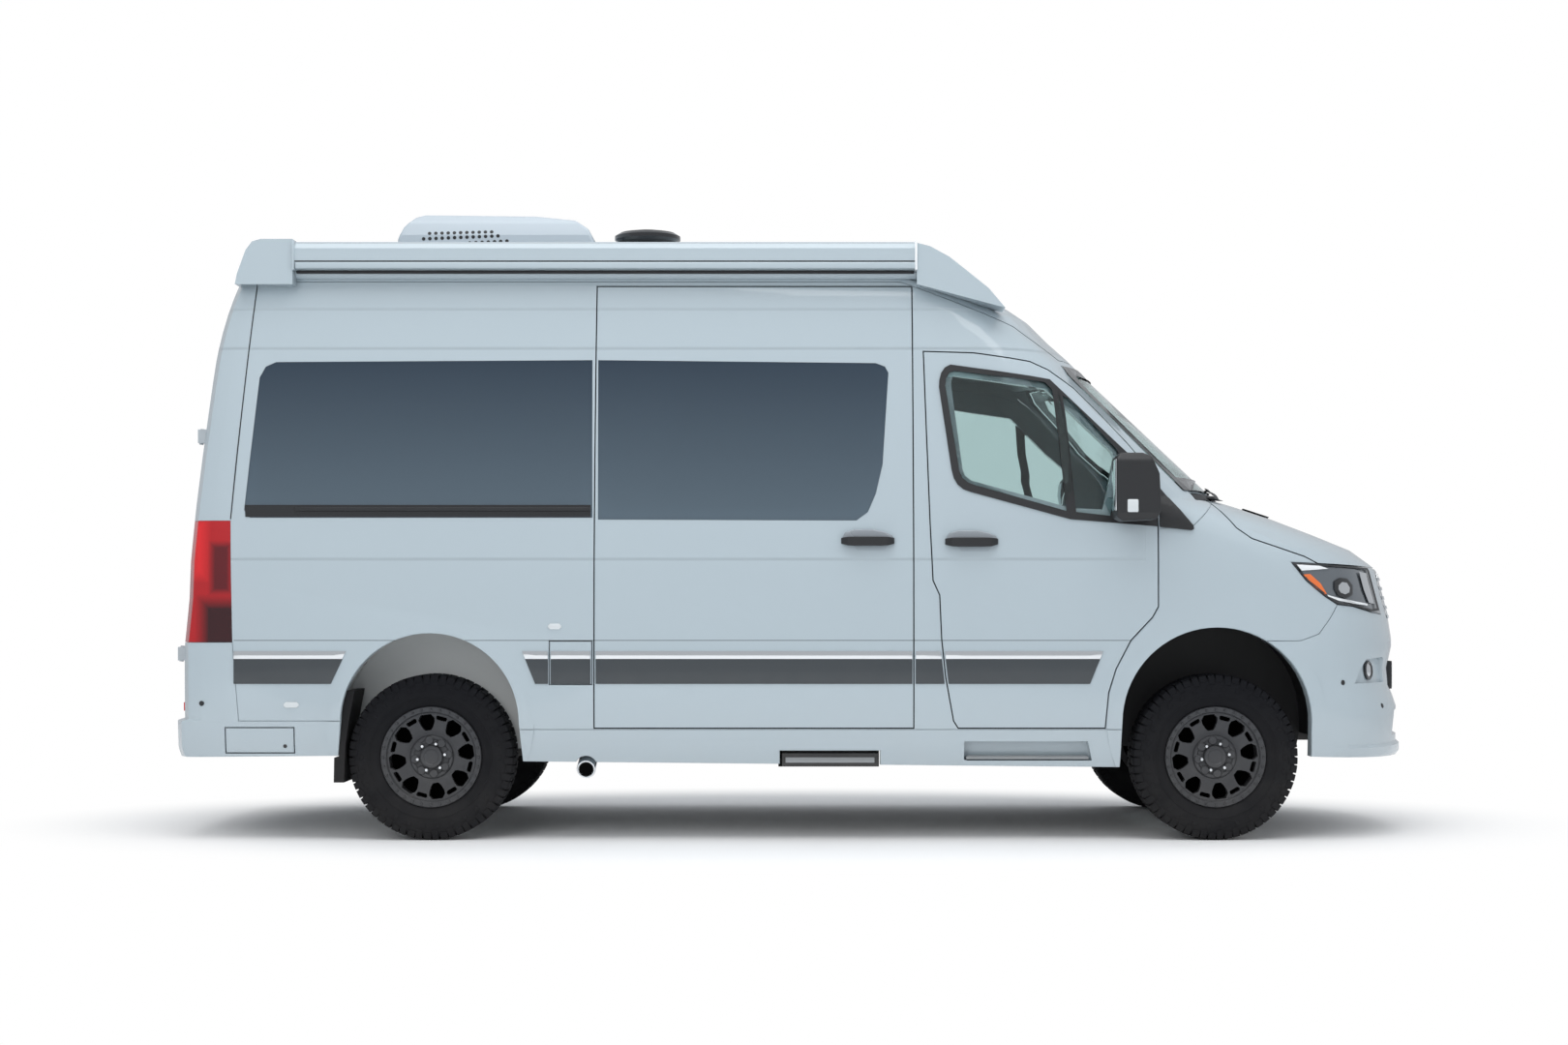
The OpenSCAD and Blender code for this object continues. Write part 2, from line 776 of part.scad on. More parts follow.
module driveline() {
    color("dimgray") {
        block([axle_f - 1085, axle_f - 295], [-170, 170], [brace_z - 80, brace_z]);
        translate([axle_f - 1084, 0, rail_z]) rotate([0, -90, 0])
            cylinder(r = 36, h = axle_f - 1084 - axle_r - 165);
    }
}
module exhaust() {
    color("silver") {
        translate([outlet_x + 305, -250, pipe_z]) rotate([0, -90, 0]) cylinder(r = 78, h = 300);
        block([outlet_x + 90, outlet_x + 120], [-265, -235], [pipe_z + 54, brace_z]);
        translate([outlet_x, -250, pipe_z]) sphere(r = 30);
        translate([outlet_x, -250, pipe_z]) rotate([90, 0, 0]) cylinder(r = 30, h = 480);
        translate([outlet_x, -720, pipe_z]) rotate([105, 0, 0]) cylinder(r = 40, h = 250);
    }
}
module fuel_tank() {
    color("dimgray") block([slide_r + 365, slide_f + 177], [480, 860], [360, floor_z - floor_wall]);
}
module front_axle() {
    color("dimgray") {
        block([axle_f - 70, axle_f + 70], [-470, 470], [tyre_radius - 184, tyre_radius - 87]);
        for (s = [-1, 1]) {
            block([axle_f - 45, axle_f + 45], [s * rail_y - 35, s * rail_y + 35],
                [tyre_radius - 88, rail_z]);
            difference() {
                union() {
                    for (z = [tyre_radius - 184, tyre_radius + 159]) {
                        block([axle_f - 30, axle_f + 30],
                            [min(s * 400, s * kingpin_y), max(s * 400, s * kingpin_y)], [z, z + 26.5]);
                        translate([axle_f, s * kingpin_y, z]) cylinder(r = 30, h = 26.5);
                    }
                }
                translate([axle_f, s * kingpin_y, 0]) cylinder(r = 16 + run_gap, h = 2 * tyre_radius);
                block([axle_f - 50, axle_f + 50], s > 0 ? [399, 470] : [-470, -399],
                    [tyre_radius + 43, tyre_radius + 223]);
            }
        }
    }
}
module rear_axle() {
    color("dimgray") {
        translate([axle_r, -wheel_y + 60, tyre_radius]) rotate([-90, 0, 0])
            cylinder(r = 45, h = track - 120);
        translate([axle_r, 0, tyre_radius]) sphere(r = 160);
        for (s = [-1, 1]) {
            translate([axle_r, s * (wheel_y - 61), tyre_radius]) rotate([-90 * s, 0, 0])
                cylinder(r = stub_radius, h = 108);
            across(s * rail_y - 30, s * rail_y + 30) translate([axle_r, tyre_radius])
                polygon([[-700, 53], [-640, 53], [-60, -43], [60, -43], [640, 53], [700, 53], [700, 33],
                    [80, -72], [-80, -72], [-700, 33]]);
        }
    }
}
// Each flap lies along the rear of its arch and hangs down behind the tyre
module mud_flaps() {
    flap_arch = rear_arch - 0.7;
    tyre_side = tyre_radius + 9;
    color("black") for (s = [0, 1]) left(s == 1)
        across(-wheel_y - 130, 140 - wheel_y) translate([axle_r, 0]) polygon(concat(
            [for (a = [159:7:180]) [flap_arch * cos(a), arch_z + flap_arch * sin(a)]],
            [[-flap_arch - 11, tail_low - 6], [-flap_arch - 34, tail_low - 12], [-flap_arch - 36, 270],
                [-tyre_side - 6, 270], [-tyre_side, rail_z], [16 - tyre_side, arch_z],
                [44 - tyre_side, arch_z + 148]]));
}

// Wheels: the outside faces +Z here
module rim() {
    difference() {
        rotate_extrude() polygon([[stub_radius + run_gap, -55], [150, -55], [150, -30], [75, -30],
            [75, 38], [208, 44], [208, -102], [rim_radius, -102], [rim_radius, -92], [220, -84],
            [220, 84], [rim_radius, 92], [rim_radius, 102], [228, 102], [212, 82], [204, 66], [150, 66],
            [100, 72], [72, 84], [64, 96], [0, 96], [0, 50], [stub_radius + run_gap, 50]]);
        for (i = [0:7])
            rotate(i * 45 + 22.5) {
                translate([148, 0, 0]) cylinder(r = 36, h = 120, $fn = 6);
                rotate(22.5) translate([188, -20, 0]) cube([11, 40, 120]);
            }
    }
}
// Tyre with its shoulder lugs
module tyre() {
    r = tyre_radius - lug_height;
    // Half of the section, from the bead seat over the sidewall to the tread
    half = [[rim_radius - 15.8, 83.6], [rim_radius + 0.4, 91.7], [rim_radius + 4, 92.5],
        [rim_radius + 26, tyre_width / 2 - 10], [r - 76, tyre_width / 2], [r - 26, tyre_width / 2 - 5],
        [r - 8, tyre_width / 2 - 18], [r, tyre_width / 2 - 34]];
    rotate_extrude()
        polygon(concat(half, [for (i = [len(half) - 1:-1:0]) [half[i][0], -half[i][1]]]));
    for (i = [0:lug_count - 1], s = [-1, 1])
        rotate((i + s / 4) * 360 / lug_count) translate([r - 14, -21, s > 0 ? 4 : -100])
            cube([lug_height + 13.4, 42, 96]);
}
module at_wheel(x, s) {
    translate([x, s * wheel_y, tyre_radius]) rotate([-90 * s, 0, 0]) children();
}
module knuckle(s) {
    translate([axle_f, s * kingpin_y, 0]) {
        block([-40, 40], [s > 0 ? -25 : -34, s > 0 ? 34 : 25], [tyre_radius - 149, tyre_radius + 151]);
        translate([0, 0, tyre_radius - 189]) cylinder(r = 16, h = 380);
    }
    translate([axle_f, s * (kingpin_y + 20), tyre_radius]) rotate([-90 * s, 0, 0])
        cylinder(r = stub_radius, h = wheel_y + 47 - kingpin_y - 20);
}
module knuckle_left() {
    color("gray") knuckle(1);
}
module knuckle_right() {
    color("gray") knuckle(-1);
}
module wheel_front_left() {
    color("dimgray") at_wheel(axle_f, 1) rim();
}
module wheel_front_right() {
    color("dimgray") at_wheel(axle_f, -1) rim();
}
module wheel_rear_left() {
    color("dimgray") at_wheel(axle_r, 1) rim();
}
module wheel_rear_right() {
    color("dimgray") at_wheel(axle_r, -1) rim();
}
module tyre_front_left() {
    color("black") at_wheel(axle_f, 1) tyre();
}
module tyre_front_right() {
    color("black") at_wheel(axle_f, -1) tyre();
}
module tyre_rear_left() {
    color("black") at_wheel(axle_r, 1) tyre();
}
module tyre_rear_right() {
    color("black") at_wheel(axle_r, -1) tyre();
}

// Inside
module at_column() {
    translate([axle_f - 550, 450, 1400]) rotate([0, -62, 0]) children();
}
module seat() {
    block([-1135, -755], [-180, 180], [floor_z, 900]);
    block([-1175, -635], [-260, 260], [900, 1060]);
    across(-250, 250) polygon([[-1175, 1060], [-1035, 1060], [-1135, 1640], [-1255, 1640]]);
    across(-130, 130) polygon([[-1245, 1640], [-1145, 1640], [-1170, 1830], [-1255, 1830]]);
}
module seats() {
    color("tan") for (s = [-1, 1])
        translate([axle_f, s * 450, 0]) seat();
}
module dashboard() {
    color("dimgray") difference() {
        across(-850, 850) translate([axle_f, 0]) polygon([[-245.5, 1000], [-375, 1040], [-435, 1200],
            [-455, 1380], [-405, 1460], [-245.5, 1500]]);
        at_column() translate([0, 0, -250]) cylinder(r = column_radius + run_gap, h = 240);
    }
}
module steering_wheel() {
    color("black") at_column() {
        rotate_extrude() translate([185, 0]) circle(r = 15, $fn = 24);
        cylinder(r = 60, h = 30, center = true);
        for (a = [30, 150, 270])
            rotate(a) translate([0, -18, -8]) cube([178, 36, 16]);
        translate([0, 0, -160]) cylinder(r = column_radius, h = 150);
    }
}
module furniture() {
    color("peru") {
        block([slide_r + 115, slide_f + 37], [480, 880], [floor_z, 1480]);
        block([axle_r - 1050, axle_r + 480], [-bed_y, bed_y], [floor_z, 1100]);
    }
}
module bed_cushion() {
    color("tan") block([axle_r - 1050, axle_r + 480], [-860, 860], [1100, 1240]);
}

floor();
roof();
side_left();
side_right();
wing_left();
wing_right();
cowl();
bonnet();
grille();
headlamps();
front_bumper();
rear_bumper();
sills();
tail_lamps();
windscreen();
side_glass();
sliding_door();
sliding_glass();
door_front_left();
door_front_right();
door_glass_left();
door_glass_right();
mirror_left();
mirror_right();
door_rear_left();
door_rear_right();
rear_glass_left();
rear_glass_right();
rear_hinges();
utility_hatch();
bumper_hatch();
entry_step();
awning();
awning_fairings();
roof_cooler();
roof_antenna();
chassis();
engine();
driveline();
exhaust();
fuel_tank();
front_axle();
rear_axle();
mud_flaps();
knuckle_left();
knuckle_right();
wheel_front_left();
wheel_front_right();
wheel_rear_left();
wheel_rear_right();
tyre_front_left();
tyre_front_right();
tyre_rear_left();
tyre_rear_right();
seats();
dashboard();
steering_wheel();
furniture();
bed_cushion();
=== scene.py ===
# %% [markdown]
# # A camper van, dressed for its portrait
# The solids of the van come from the CAD frame. This lesson gives them their finish: paint, glass, rubber, cloth,
# and the small pieces that a solid model leaves out. We start by loading the frame, which is never moved or changed.

# %% Load the frame
import json
import math
import random

import bpy
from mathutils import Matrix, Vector
from mathutils.bvhtree import BVHTree
from mathutils.kdtree import KDTree

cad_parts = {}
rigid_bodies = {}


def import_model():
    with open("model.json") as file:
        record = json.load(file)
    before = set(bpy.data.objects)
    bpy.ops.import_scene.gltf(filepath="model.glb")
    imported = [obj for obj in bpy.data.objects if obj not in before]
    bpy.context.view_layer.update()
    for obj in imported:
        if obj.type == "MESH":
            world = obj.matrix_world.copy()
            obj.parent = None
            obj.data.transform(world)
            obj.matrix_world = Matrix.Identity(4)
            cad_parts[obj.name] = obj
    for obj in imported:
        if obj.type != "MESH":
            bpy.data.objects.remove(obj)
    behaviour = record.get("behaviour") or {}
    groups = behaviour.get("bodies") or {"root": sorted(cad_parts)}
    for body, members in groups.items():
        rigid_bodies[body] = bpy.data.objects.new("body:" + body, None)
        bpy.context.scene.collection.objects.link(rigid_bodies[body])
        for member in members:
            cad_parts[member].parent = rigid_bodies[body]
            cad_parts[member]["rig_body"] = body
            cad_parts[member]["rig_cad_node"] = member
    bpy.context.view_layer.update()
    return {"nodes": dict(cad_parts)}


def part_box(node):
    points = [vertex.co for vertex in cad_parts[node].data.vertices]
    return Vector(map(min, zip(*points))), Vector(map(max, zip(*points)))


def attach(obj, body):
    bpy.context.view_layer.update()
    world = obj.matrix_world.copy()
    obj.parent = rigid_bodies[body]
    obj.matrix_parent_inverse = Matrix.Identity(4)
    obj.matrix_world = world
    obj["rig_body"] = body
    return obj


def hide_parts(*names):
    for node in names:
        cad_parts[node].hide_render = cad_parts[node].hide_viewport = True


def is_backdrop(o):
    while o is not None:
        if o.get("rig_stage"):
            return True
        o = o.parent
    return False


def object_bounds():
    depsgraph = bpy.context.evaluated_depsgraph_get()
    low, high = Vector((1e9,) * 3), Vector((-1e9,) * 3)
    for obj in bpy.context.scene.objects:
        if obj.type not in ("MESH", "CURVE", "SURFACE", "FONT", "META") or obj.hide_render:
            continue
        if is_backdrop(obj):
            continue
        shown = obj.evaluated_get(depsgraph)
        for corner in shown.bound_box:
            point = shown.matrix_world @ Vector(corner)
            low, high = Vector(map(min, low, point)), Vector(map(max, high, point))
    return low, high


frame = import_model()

nodes = frame["nodes"]
random.seed(7)

# %% [markdown]
# The camera stands well back on the right side, at about chest height, as for a plain side portrait. The lens is long,
# so the van hardly narrows with distance. A small shift puts the horizon where it belongs without tilting the camera,
# and upright lines stay upright.

# %% Camera
FRAME_WIDTH = 1620.0
bpy.ops.object.camera_add(location=(-0.045, -12.235, 1.108), rotation=(math.radians(90), 0, 0))
camera = bpy.context.object
camera.data.sensor_width = 36.0
camera.data.lens = 2494.5 * 36.0 / FRAME_WIDTH
camera.data.shift_x = -8.0 / FRAME_WIDTH
camera.data.shift_y = 83.0 / FRAME_WIDTH
camera.data.clip_end = 200.0
bpy.context.scene.camera = camera
bpy.context.scene.view_settings.view_transform = "Standard"

# %% [markdown]
# Glossy paint shows what stands around it, so the studio matters as much as the paint. A pale floor, a bright world
# and three large soft lamps give long smooth reflections. Away from the van the floor looks white to the camera and
# through glass, but it still keeps the soft shadow under the van.

# %% Floor, world and lamps
def fill(tree, item, values):
    for label, value in values.items():
        if isinstance(value, bpy.types.NodeSocket):
            tree.links.new(value, item.inputs[label])
        else:
            item.inputs[label].default_value = value
    return item


def make(tree, kind, values=None, **settings):
    item = tree.nodes.new("ShaderNode" + kind)
    for key, value in settings.items():
        setattr(item, key, value)
    return fill(tree, item, values or {})


def new_material(name):
    material = bpy.data.materials.new(name)
    material.use_nodes = True
    return material, material.node_tree, material.node_tree.nodes["Principled BSDF"]


bpy.ops.object.select_all(action="DESELECT")
bpy.ops.mesh.primitive_plane_add(size=120.0, location=(0, 0, -0.002))
floor_plane = bpy.context.object
floor_plane.name = "studio_floor"
floor_plane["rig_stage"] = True
floor_paint, tree, lit = new_material("studio_floor")
fill(tree, lit, {"Base Color": (0.9, 0.905, 0.91, 1), "Roughness": 0.8, "Specular IOR Level": 0.1})
bright = make(tree, "Emission", {"Color": (1, 1, 1, 1)})
spot = make(tree, "TexCoord").outputs["Object"]
spread = make(tree, "VectorMath", {0: spot, 1: (0.24, 0.42, 0)}, operation="MULTIPLY")
length = make(tree, "VectorMath", {0: spread.outputs[0]}, operation="LENGTH")
fade = make(tree, "MapRange", {"Value": length.outputs["Value"], "From Min": 0.62, "From Max": 1.0},
            interpolation_type="SMOOTHSTEP")
eye = make(tree, "LightPath").outputs
looked = make(tree, "Math", {0: eye["Is Camera Ray"], 1: eye["Is Transmission Ray"]}, operation="MAXIMUM")
both = make(tree, "Math", {0: looked.outputs[0], 1: fade.outputs["Result"]}, operation="MULTIPLY")
blend = make(tree, "MixShader", {0: both.outputs[0], 1: lit.outputs[0], 2: bright.outputs[0]})
tree.links.new(blend.outputs[0], tree.nodes["Material Output"].inputs["Surface"])
floor_plane.data.materials.append(floor_paint)

world = bpy.data.worlds.new("studio")
bpy.context.scene.world = world
world.use_nodes = True
tree = world.node_tree
room = fill(tree, tree.nodes["Background"], {"Color": (0.93, 0.96, 1.0, 1), "Strength": 0.55})
white = make(tree, "Background", {"Color": (1, 1, 1, 1)})
eye = make(tree, "LightPath").outputs
seen = make(tree, "Math", {0: eye["Is Camera Ray"], 1: eye["Is Transmission Ray"]}, operation="MAXIMUM")
mix = make(tree, "MixShader", {0: seen.outputs[0], 1: room.outputs[0], 2: white.outputs[0]})
tree.links.new(mix.outputs[0], tree.nodes["World Output"].inputs["Surface"])

LAMPS = [  # name, place, aim, size, power
    ("lamp_top", (0, -2.0, 8.5), (0, 0, 1.0), 9.0, 520),
    ("lamp_side", (-4.0, -11.0, 5.5), (0, 0, 1.4), 6.0, 360),
    ("lamp_front", (10.0, -5.0, 4.5), (1.0, 0, 1.2), 4.5, 160),
]
for name, place, aim, size, power in LAMPS:
    bpy.ops.object.light_add(type="AREA", location=place)
    lamp = bpy.context.object
    lamp.name = name
    lamp.data.size = size
    lamp.data.energy = power
    lamp.visible_glossy = name == "lamp_top"
    lamp.rotation_euler = (Vector(aim) - Vector(place)).to_track_quat("-Z", "Y").to_euler()
print("lamps", len(LAMPS))

# %% [markdown]
# Most finishes share a few effects. The first is a fine grain that breaks up gloss, like the orange peel of paint or
# the mould texture of plastic. The second is road dust that lies low on the body. The third draws the pressed lines of
# the flank and paints the shade of the seam along the sill, and the last gives a block of space a second colour, such
# as the dark foot of a tail lamp or the painted reflection that darkens the top of the privacy glass. Each is a node
# group with named sockets, so a finish only sets how much of it there is.

# %% Shared node groups
def new_group(name, inputs, outputs):
    group = bpy.data.node_groups.new(name, "ShaderNodeTree")
    for label, value in inputs.items():
        kind = {3: "Vector", 4: "Color"}[len(value)] if isinstance(value, tuple) else "Float"
        socket = group.interface.new_socket(label, in_out="INPUT", socket_type="NodeSocket" + kind)
        socket.default_value = value
    for label, kind in outputs.items():
        group.interface.new_socket(label, in_out="OUTPUT", socket_type="NodeSocket" + kind)
    return group, group.nodes.new("NodeGroupInput").outputs, group.nodes.new("NodeGroupOutput").inputs


def make_grain():
    group, gin, gout = new_group("surface_grain", {"Scale": 400.0, "Roughness": 0.4, "Spread": 0.1},
                                 {"Height": "Float", "Roughness": "Float"})
    place = make(group, "TexCoord").outputs["Object"]
    fine = make(group, "TexNoise", {"Vector": place, "Scale": gin["Scale"], "Detail": 3.0})
    broad = make(group, "TexNoise", {"Vector": place, "Scale": 3.0})
    centre = make(group, "Math", {0: broad.outputs["Fac"], 1: 0.5}, operation="SUBTRACT")
    spread = make(group, "Math", {0: centre.outputs[0], 1: gin["Spread"], 2: gin["Roughness"]},
                  operation="MULTIPLY_ADD")
    group.links.new(fine.outputs["Fac"], gout["Height"])
    group.links.new(spread.outputs[0], gout["Roughness"])
    return group


def make_dust():
    group, gin, gout = new_group(
        "road_dust", {"Color": (0.5, 0.5, 0.5, 1), "Dust": (0.45, 0.42, 0.38, 1), "Top": 0.6, "Amount": 0.2},
        {"Color": "Color"})
    place = make(group, "TexCoord").outputs["Object"]
    split = make(group, "SeparateXYZ", {0: place})
    fade = make(group, "MapRange", {"Value": split.outputs["Z"], "From Min": 0.1, "From Max": gin["Top"],
                                    "To Min": 1.0, "To Max": 0.0})
    noise = make(group, "TexNoise", {"Vector": place, "Scale": 9.0, "Detail": 6.0})
    patch = make(group, "Math", {0: fade.outputs["Result"], 1: noise.outputs["Fac"]}, operation="MULTIPLY")
    amount = make(group, "Math", {0: patch.outputs[0], 1: gin["Amount"]}, operation="MULTIPLY")
    blend = make(group, "Mix", {"Factor": amount.outputs[0], "A": gin["Color"], "B": gin["Dust"]}, data_type="RGBA")
    group.links.new(blend.outputs["Result"], gout["Color"])
    return group


def make_lines():
    group, gin, gout = new_group("panel_lines", {"Line": 0.933, "Half": 0.0016}, {"Mask": "Float", "Height": "Float"})
    place = make(group, "TexCoord").outputs["Object"]
    split = make(group, "SeparateXYZ", {0: place}).outputs
    # Painted shade: this line along the sill's top darkens the paint where the seam would lie in shadow.
    line = make(group, "Math", {0: split["Z"], 1: gin["Line"], 2: gin["Half"]}, operation="COMPARE")
    for operation, limit in (("GREATER_THAN", -2.640), ("LESS_THAN", 1.536)):
        inside = make(group, "Math", {0: split["X"], 1: limit}, operation=operation)
        line = make(group, "Math", {0: line.outputs[0], 1: inside.outputs[0]}, operation="MULTIPLY")
    group.links.new(line.outputs[0], gout["Mask"])
    total = 0.0
    for low, high in ((1.302, 1.320), (2.293, 2.311), (2.481, 2.499)):
        crease = make(group, "MapRange", {"Value": split["Z"], "From Min": low, "From Max": high},
                      interpolation_type="SMOOTHSTEP")
        total = make(group, "Math", {0: crease.outputs["Result"], 1: total}, operation="ADD").outputs[0]
    rear = make(group, "Math", {0: split["X"], 1: 1.6}, operation="LESS_THAN")
    keep = make(group, "Math", {0: total, 1: rear.outputs[0]}, operation="MULTIPLY")
    group.links.new(keep.outputs[0], gout["Height"])
    return group


def make_zone():
    group, gin, gout = new_group(
        "zone_tone", {"Color": (0.5, 0.5, 0.5, 1), "Second": (0, 0, 0, 1), "Centre": (0, 0, 0), "Half": (1, 1, 1),
                      "Edge": 0.004}, {"Color": "Color"})
    place = make(group, "TexCoord").outputs["Object"]
    away = make(group, "VectorMath", {0: place, 1: gin["Centre"]}, operation="SUBTRACT")
    size = make(group, "VectorMath", {0: away.outputs[0]}, operation="ABSOLUTE")
    over = make(group, "VectorMath", {0: size.outputs[0], 1: gin["Half"]}, operation="SUBTRACT")
    split = make(group, "SeparateXYZ", {0: over.outputs[0]}).outputs
    wider = make(group, "Math", {0: split["X"], 1: split["Y"]}, operation="MAXIMUM")
    most = make(group, "Math", {0: wider.outputs[0], 1: split["Z"]}, operation="MAXIMUM")
    share = make(group, "Math", {0: most.outputs[0], 1: gin["Edge"]}, operation="DIVIDE")
    mask = make(group, "Math", {0: share.outputs[0], 1: -1.0}, operation="MULTIPLY", use_clamp=True)
    blend = make(group, "Mix", {"Factor": mask.outputs[0], "A": gin["Color"], "B": gin["Second"]}, data_type="RGBA")
    group.links.new(blend.outputs["Result"], gout["Color"])
    return group


GRAIN = make_grain()
DUST = make_dust()
LINES = make_lines()
ZONE = make_zone()

# %% [markdown]
# A finish is a Principled shader with the grain for its gloss and, low on the van, some dust. Paint gets a clear coat,
# because the shine of a car is in its lacquer and not in its colour. Glass lets light through and is tinted; the
# privacy glass also has a painted reflection that darkens it towards its top.

# %% Finishes
def finish(name, color, rough=0.4, metal=0.0, grain=400.0, bump=0.05, spread=0.08, dust=0.0, dust_top=0.6, coat=0.0,
           specular=0.5):
    material, tree, shader = new_material(name)
    texture = make(tree, "Group", {"Scale": grain, "Roughness": rough, "Spread": spread}, node_tree=GRAIN).outputs
    dirt = make(tree, "Group", {"Color": (*color, 1), "Top": dust_top, "Amount": dust}, node_tree=DUST).outputs
    relief = make(tree, "Bump", {"Strength": bump, "Distance": 0.001, "Height": texture["Height"]}).outputs
    fill(tree, shader, {"Metallic": metal, "Coat Weight": coat, "Coat Roughness": 0.04, "Specular IOR Level": specular,
                        "Roughness": texture["Roughness"], "Base Color": dirt["Color"], "Normal": relief["Normal"]})
    material.diffuse_color = (*color, 1)
    return material


def glass_finish(name, color, rough=0.0, clear=1.0):
    material, tree, shader = new_material(name)
    fill(tree, shader, {"Base Color": (*color, 1), "Roughness": rough, "Transmission Weight": clear, "IOR": 1.45})
    return material


def tone(material, color, centre, half, edge=0.004):
    tree = material.node_tree
    socket = tree.nodes["Principled BSDF"].inputs["Base Color"]
    first = socket.links[0].from_socket if socket.links else socket.default_value
    zone = make(tree, "Group", {"Color": first, "Second": (*color, 1), "Centre": centre, "Half": half, "Edge": edge},
                node_tree=ZONE)
    tree.links.new(zone.outputs["Color"], socket)


paint = finish("body_paint", (0.405, 0.48, 0.525), rough=0.38, metal=0.0, grain=900, bump=0.01, spread=0.05, dust=0.25,
               dust_top=0.7, coat=1.0)
tree = paint.node_tree
coat = tree.nodes["Principled BSDF"]
under, grained = (coat.inputs[label].links[0].from_socket for label in ("Base Color", "Normal"))
lines = make(tree, "Group", node_tree=LINES).outputs
# Painted shade: a dark line in the paint along the sill's top stands for the shaded seam.
seam_shade_mix = make(tree, "Mix", {"Factor": lines["Mask"], "A": under, "B": (0.06, 0.07, 0.075, 1)}, data_type="RGBA")
swage = make(tree, "Bump", {"Strength": 1.0, "Distance": 0.007, "Height": lines["Height"], "Normal": grained})
fill(tree, coat, {"Base Color": seam_shade_mix.outputs["Result"], "Normal": swage.outputs["Normal"]})
dark_glass = glass_finish("privacy_glass", (0.125, 0.172, 0.215), 0.01, 0.35)
# Painted reflection: the privacy glass darkens towards its top, a reflection of its surroundings painted into its
# colour.
tone(dark_glass, (0.022, 0.041, 0.070), (0, 0, 2.45), (9, 9, 0.95), 0.9)
cab_glass = glass_finish("cab_glass", (0.62, 0.74, 0.74))
lens_glass = glass_finish("lamp_lens", (0.93, 0.95, 0.96), 0.02)
black_plastic = finish("black_plastic", (0.018, 0.019, 0.021), rough=0.5, grain=1200, bump=0.25, dust=0.2)
gloss_black = finish("gloss_black", (0.012, 0.013, 0.015), rough=0.16, grain=500, bump=0.01, coat=0.6)
strip_dark = finish("strip_dark", (0.045, 0.053, 0.06), rough=0.33, grain=900, bump=0.05, dust=0.15, dust_top=0.9)
chrome = finish("chrome", (0.78, 0.80, 0.82), rough=0.10, metal=1.0, grain=300, bump=0.01, spread=0.05)
steel_dark = finish("coated_steel", (0.035, 0.036, 0.038), rough=0.55, grain=250, bump=0.15, dust=0.5)
grey_metal = finish("grey_sheet", (0.42, 0.46, 0.49), rough=0.5, grain=300, bump=0.1, dust=0.4, dust_top=1.0)
floor_sheet = finish("floor_sheet", (0.60, 0.62, 0.62), rough=0.55, grain=300, bump=0.1, dust=0.4, dust_top=1.0)
tone(floor_sheet, (0.012, 0.012, 0.013), (2.35, 0, 0.6), (1.15, 2, 2), 0.06)
cast_metal = finish("cast_metal", (0.22, 0.22, 0.23), rough=0.6, metal=0.8, grain=180, bump=0.4)
alloy = finish("wheel_alloy", (0.048, 0.050, 0.055), rough=0.38, metal=0.4, grain=800, bump=0.06, dust=0.12)
rubber = finish("tyre_rubber", (0.0045, 0.005, 0.007), rough=0.75, grain=500, bump=0.3, dust=0.05, dust_top=0.75,
                specular=0.2)
flap_rubber = finish("flap_rubber", (0.006, 0.006, 0.007), rough=0.6, grain=300, bump=0.2, dust=0.08, specular=0.3)
# Painted shade: this near-black stands for the dark space in holes and hollows, behind the wheel spokes, inside the
# exhaust and beside the step.
shade_black = finish("shade_black", (0.002, 0.002, 0.002), rough=0.9, grain=300, bump=0.05, specular=0.05)
white_plastic = finish("white_plastic", (0.80, 0.83, 0.85), rough=0.35, grain=700, bump=0.05)
shell_grey = finish("cooler_shell", (0.42, 0.48, 0.53), rough=0.4, grain=700, bump=0.05)
red_lens = finish("red_lens", (0.40, 0.008, 0.012), rough=0.15, grain=300, bump=0.02, coat=0.3)
tone(red_lens, (0.66, 0.016, 0.02), (-2.805, 0, 1.36), (0.06, 2, 0.16), 0.06)
tone(red_lens, (0.10, 0.004, 0.008), (-2.700, 0, 1.270), (0.062, 2, 0.13), 0.035)
tone(red_lens, (0.030, 0.003, 0.005), (-2.70, 0, 0.90), (0.125, 2, 0.25), 0.07)
upholstery = finish("upholstery", (0.10, 0.09, 0.085), rough=0.55, grain=650, bump=0.5)
leather_black = finish("grip_leather", (0.014, 0.014, 0.014), rough=0.5, grain=700, bump=0.5)
cabinet = finish("cabinet_wood", (0.30, 0.20, 0.12), rough=0.4, grain=90, bump=0.1, coat=0.3)
print("finishes", len(bpy.data.materials))

# %% [markdown]
# A look is a finish together with the name of a repaint slot. The helpers take the slot name but do not store it on
# the piece. The common looks have names of their own.

# %% Common looks
PAINT = (paint, "body_paint")
BLACK = (black_plastic, "black_plastic")
GLOSS = (gloss_black, "black_plastic")
SHADE = (shade_black, "black_plastic")
CHROME = (chrome, "bright_steel")
PRIVACY = (dark_glass, "tinted_glass")
CLEAR = (cab_glass, "clear_glass")

# %% [markdown]
# The panels of the body come from the frame as loose triangles. Each copy is merged into one skin, its flat faces are
# joined, and it is shaded smooth up to a crease angle, so that reflections flow and the shut lines stay sharp.

# %% Helpers for pieces
def deselect():
    if bpy.context.object and bpy.context.object.mode != "OBJECT":
        bpy.ops.object.mode_set(mode="OBJECT")
    bpy.ops.object.select_all(action="DESELECT")


def select_only(piece):
    deselect()
    piece.select_set(True)
    bpy.context.view_layer.objects.active = piece


def apply_modifier(piece, kind, **values):
    select_only(piece)
    modifier = piece.modifiers.new(kind.lower(), kind)
    for key, value in values.items():
        setattr(modifier, key, value)
    bpy.ops.object.modifier_apply(modifier=modifier.name)


OUTWARD = (bpy.ops.mesh.normals_make_consistent, {"inside": False})
FLIP = (bpy.ops.mesh.flip_normals, {})


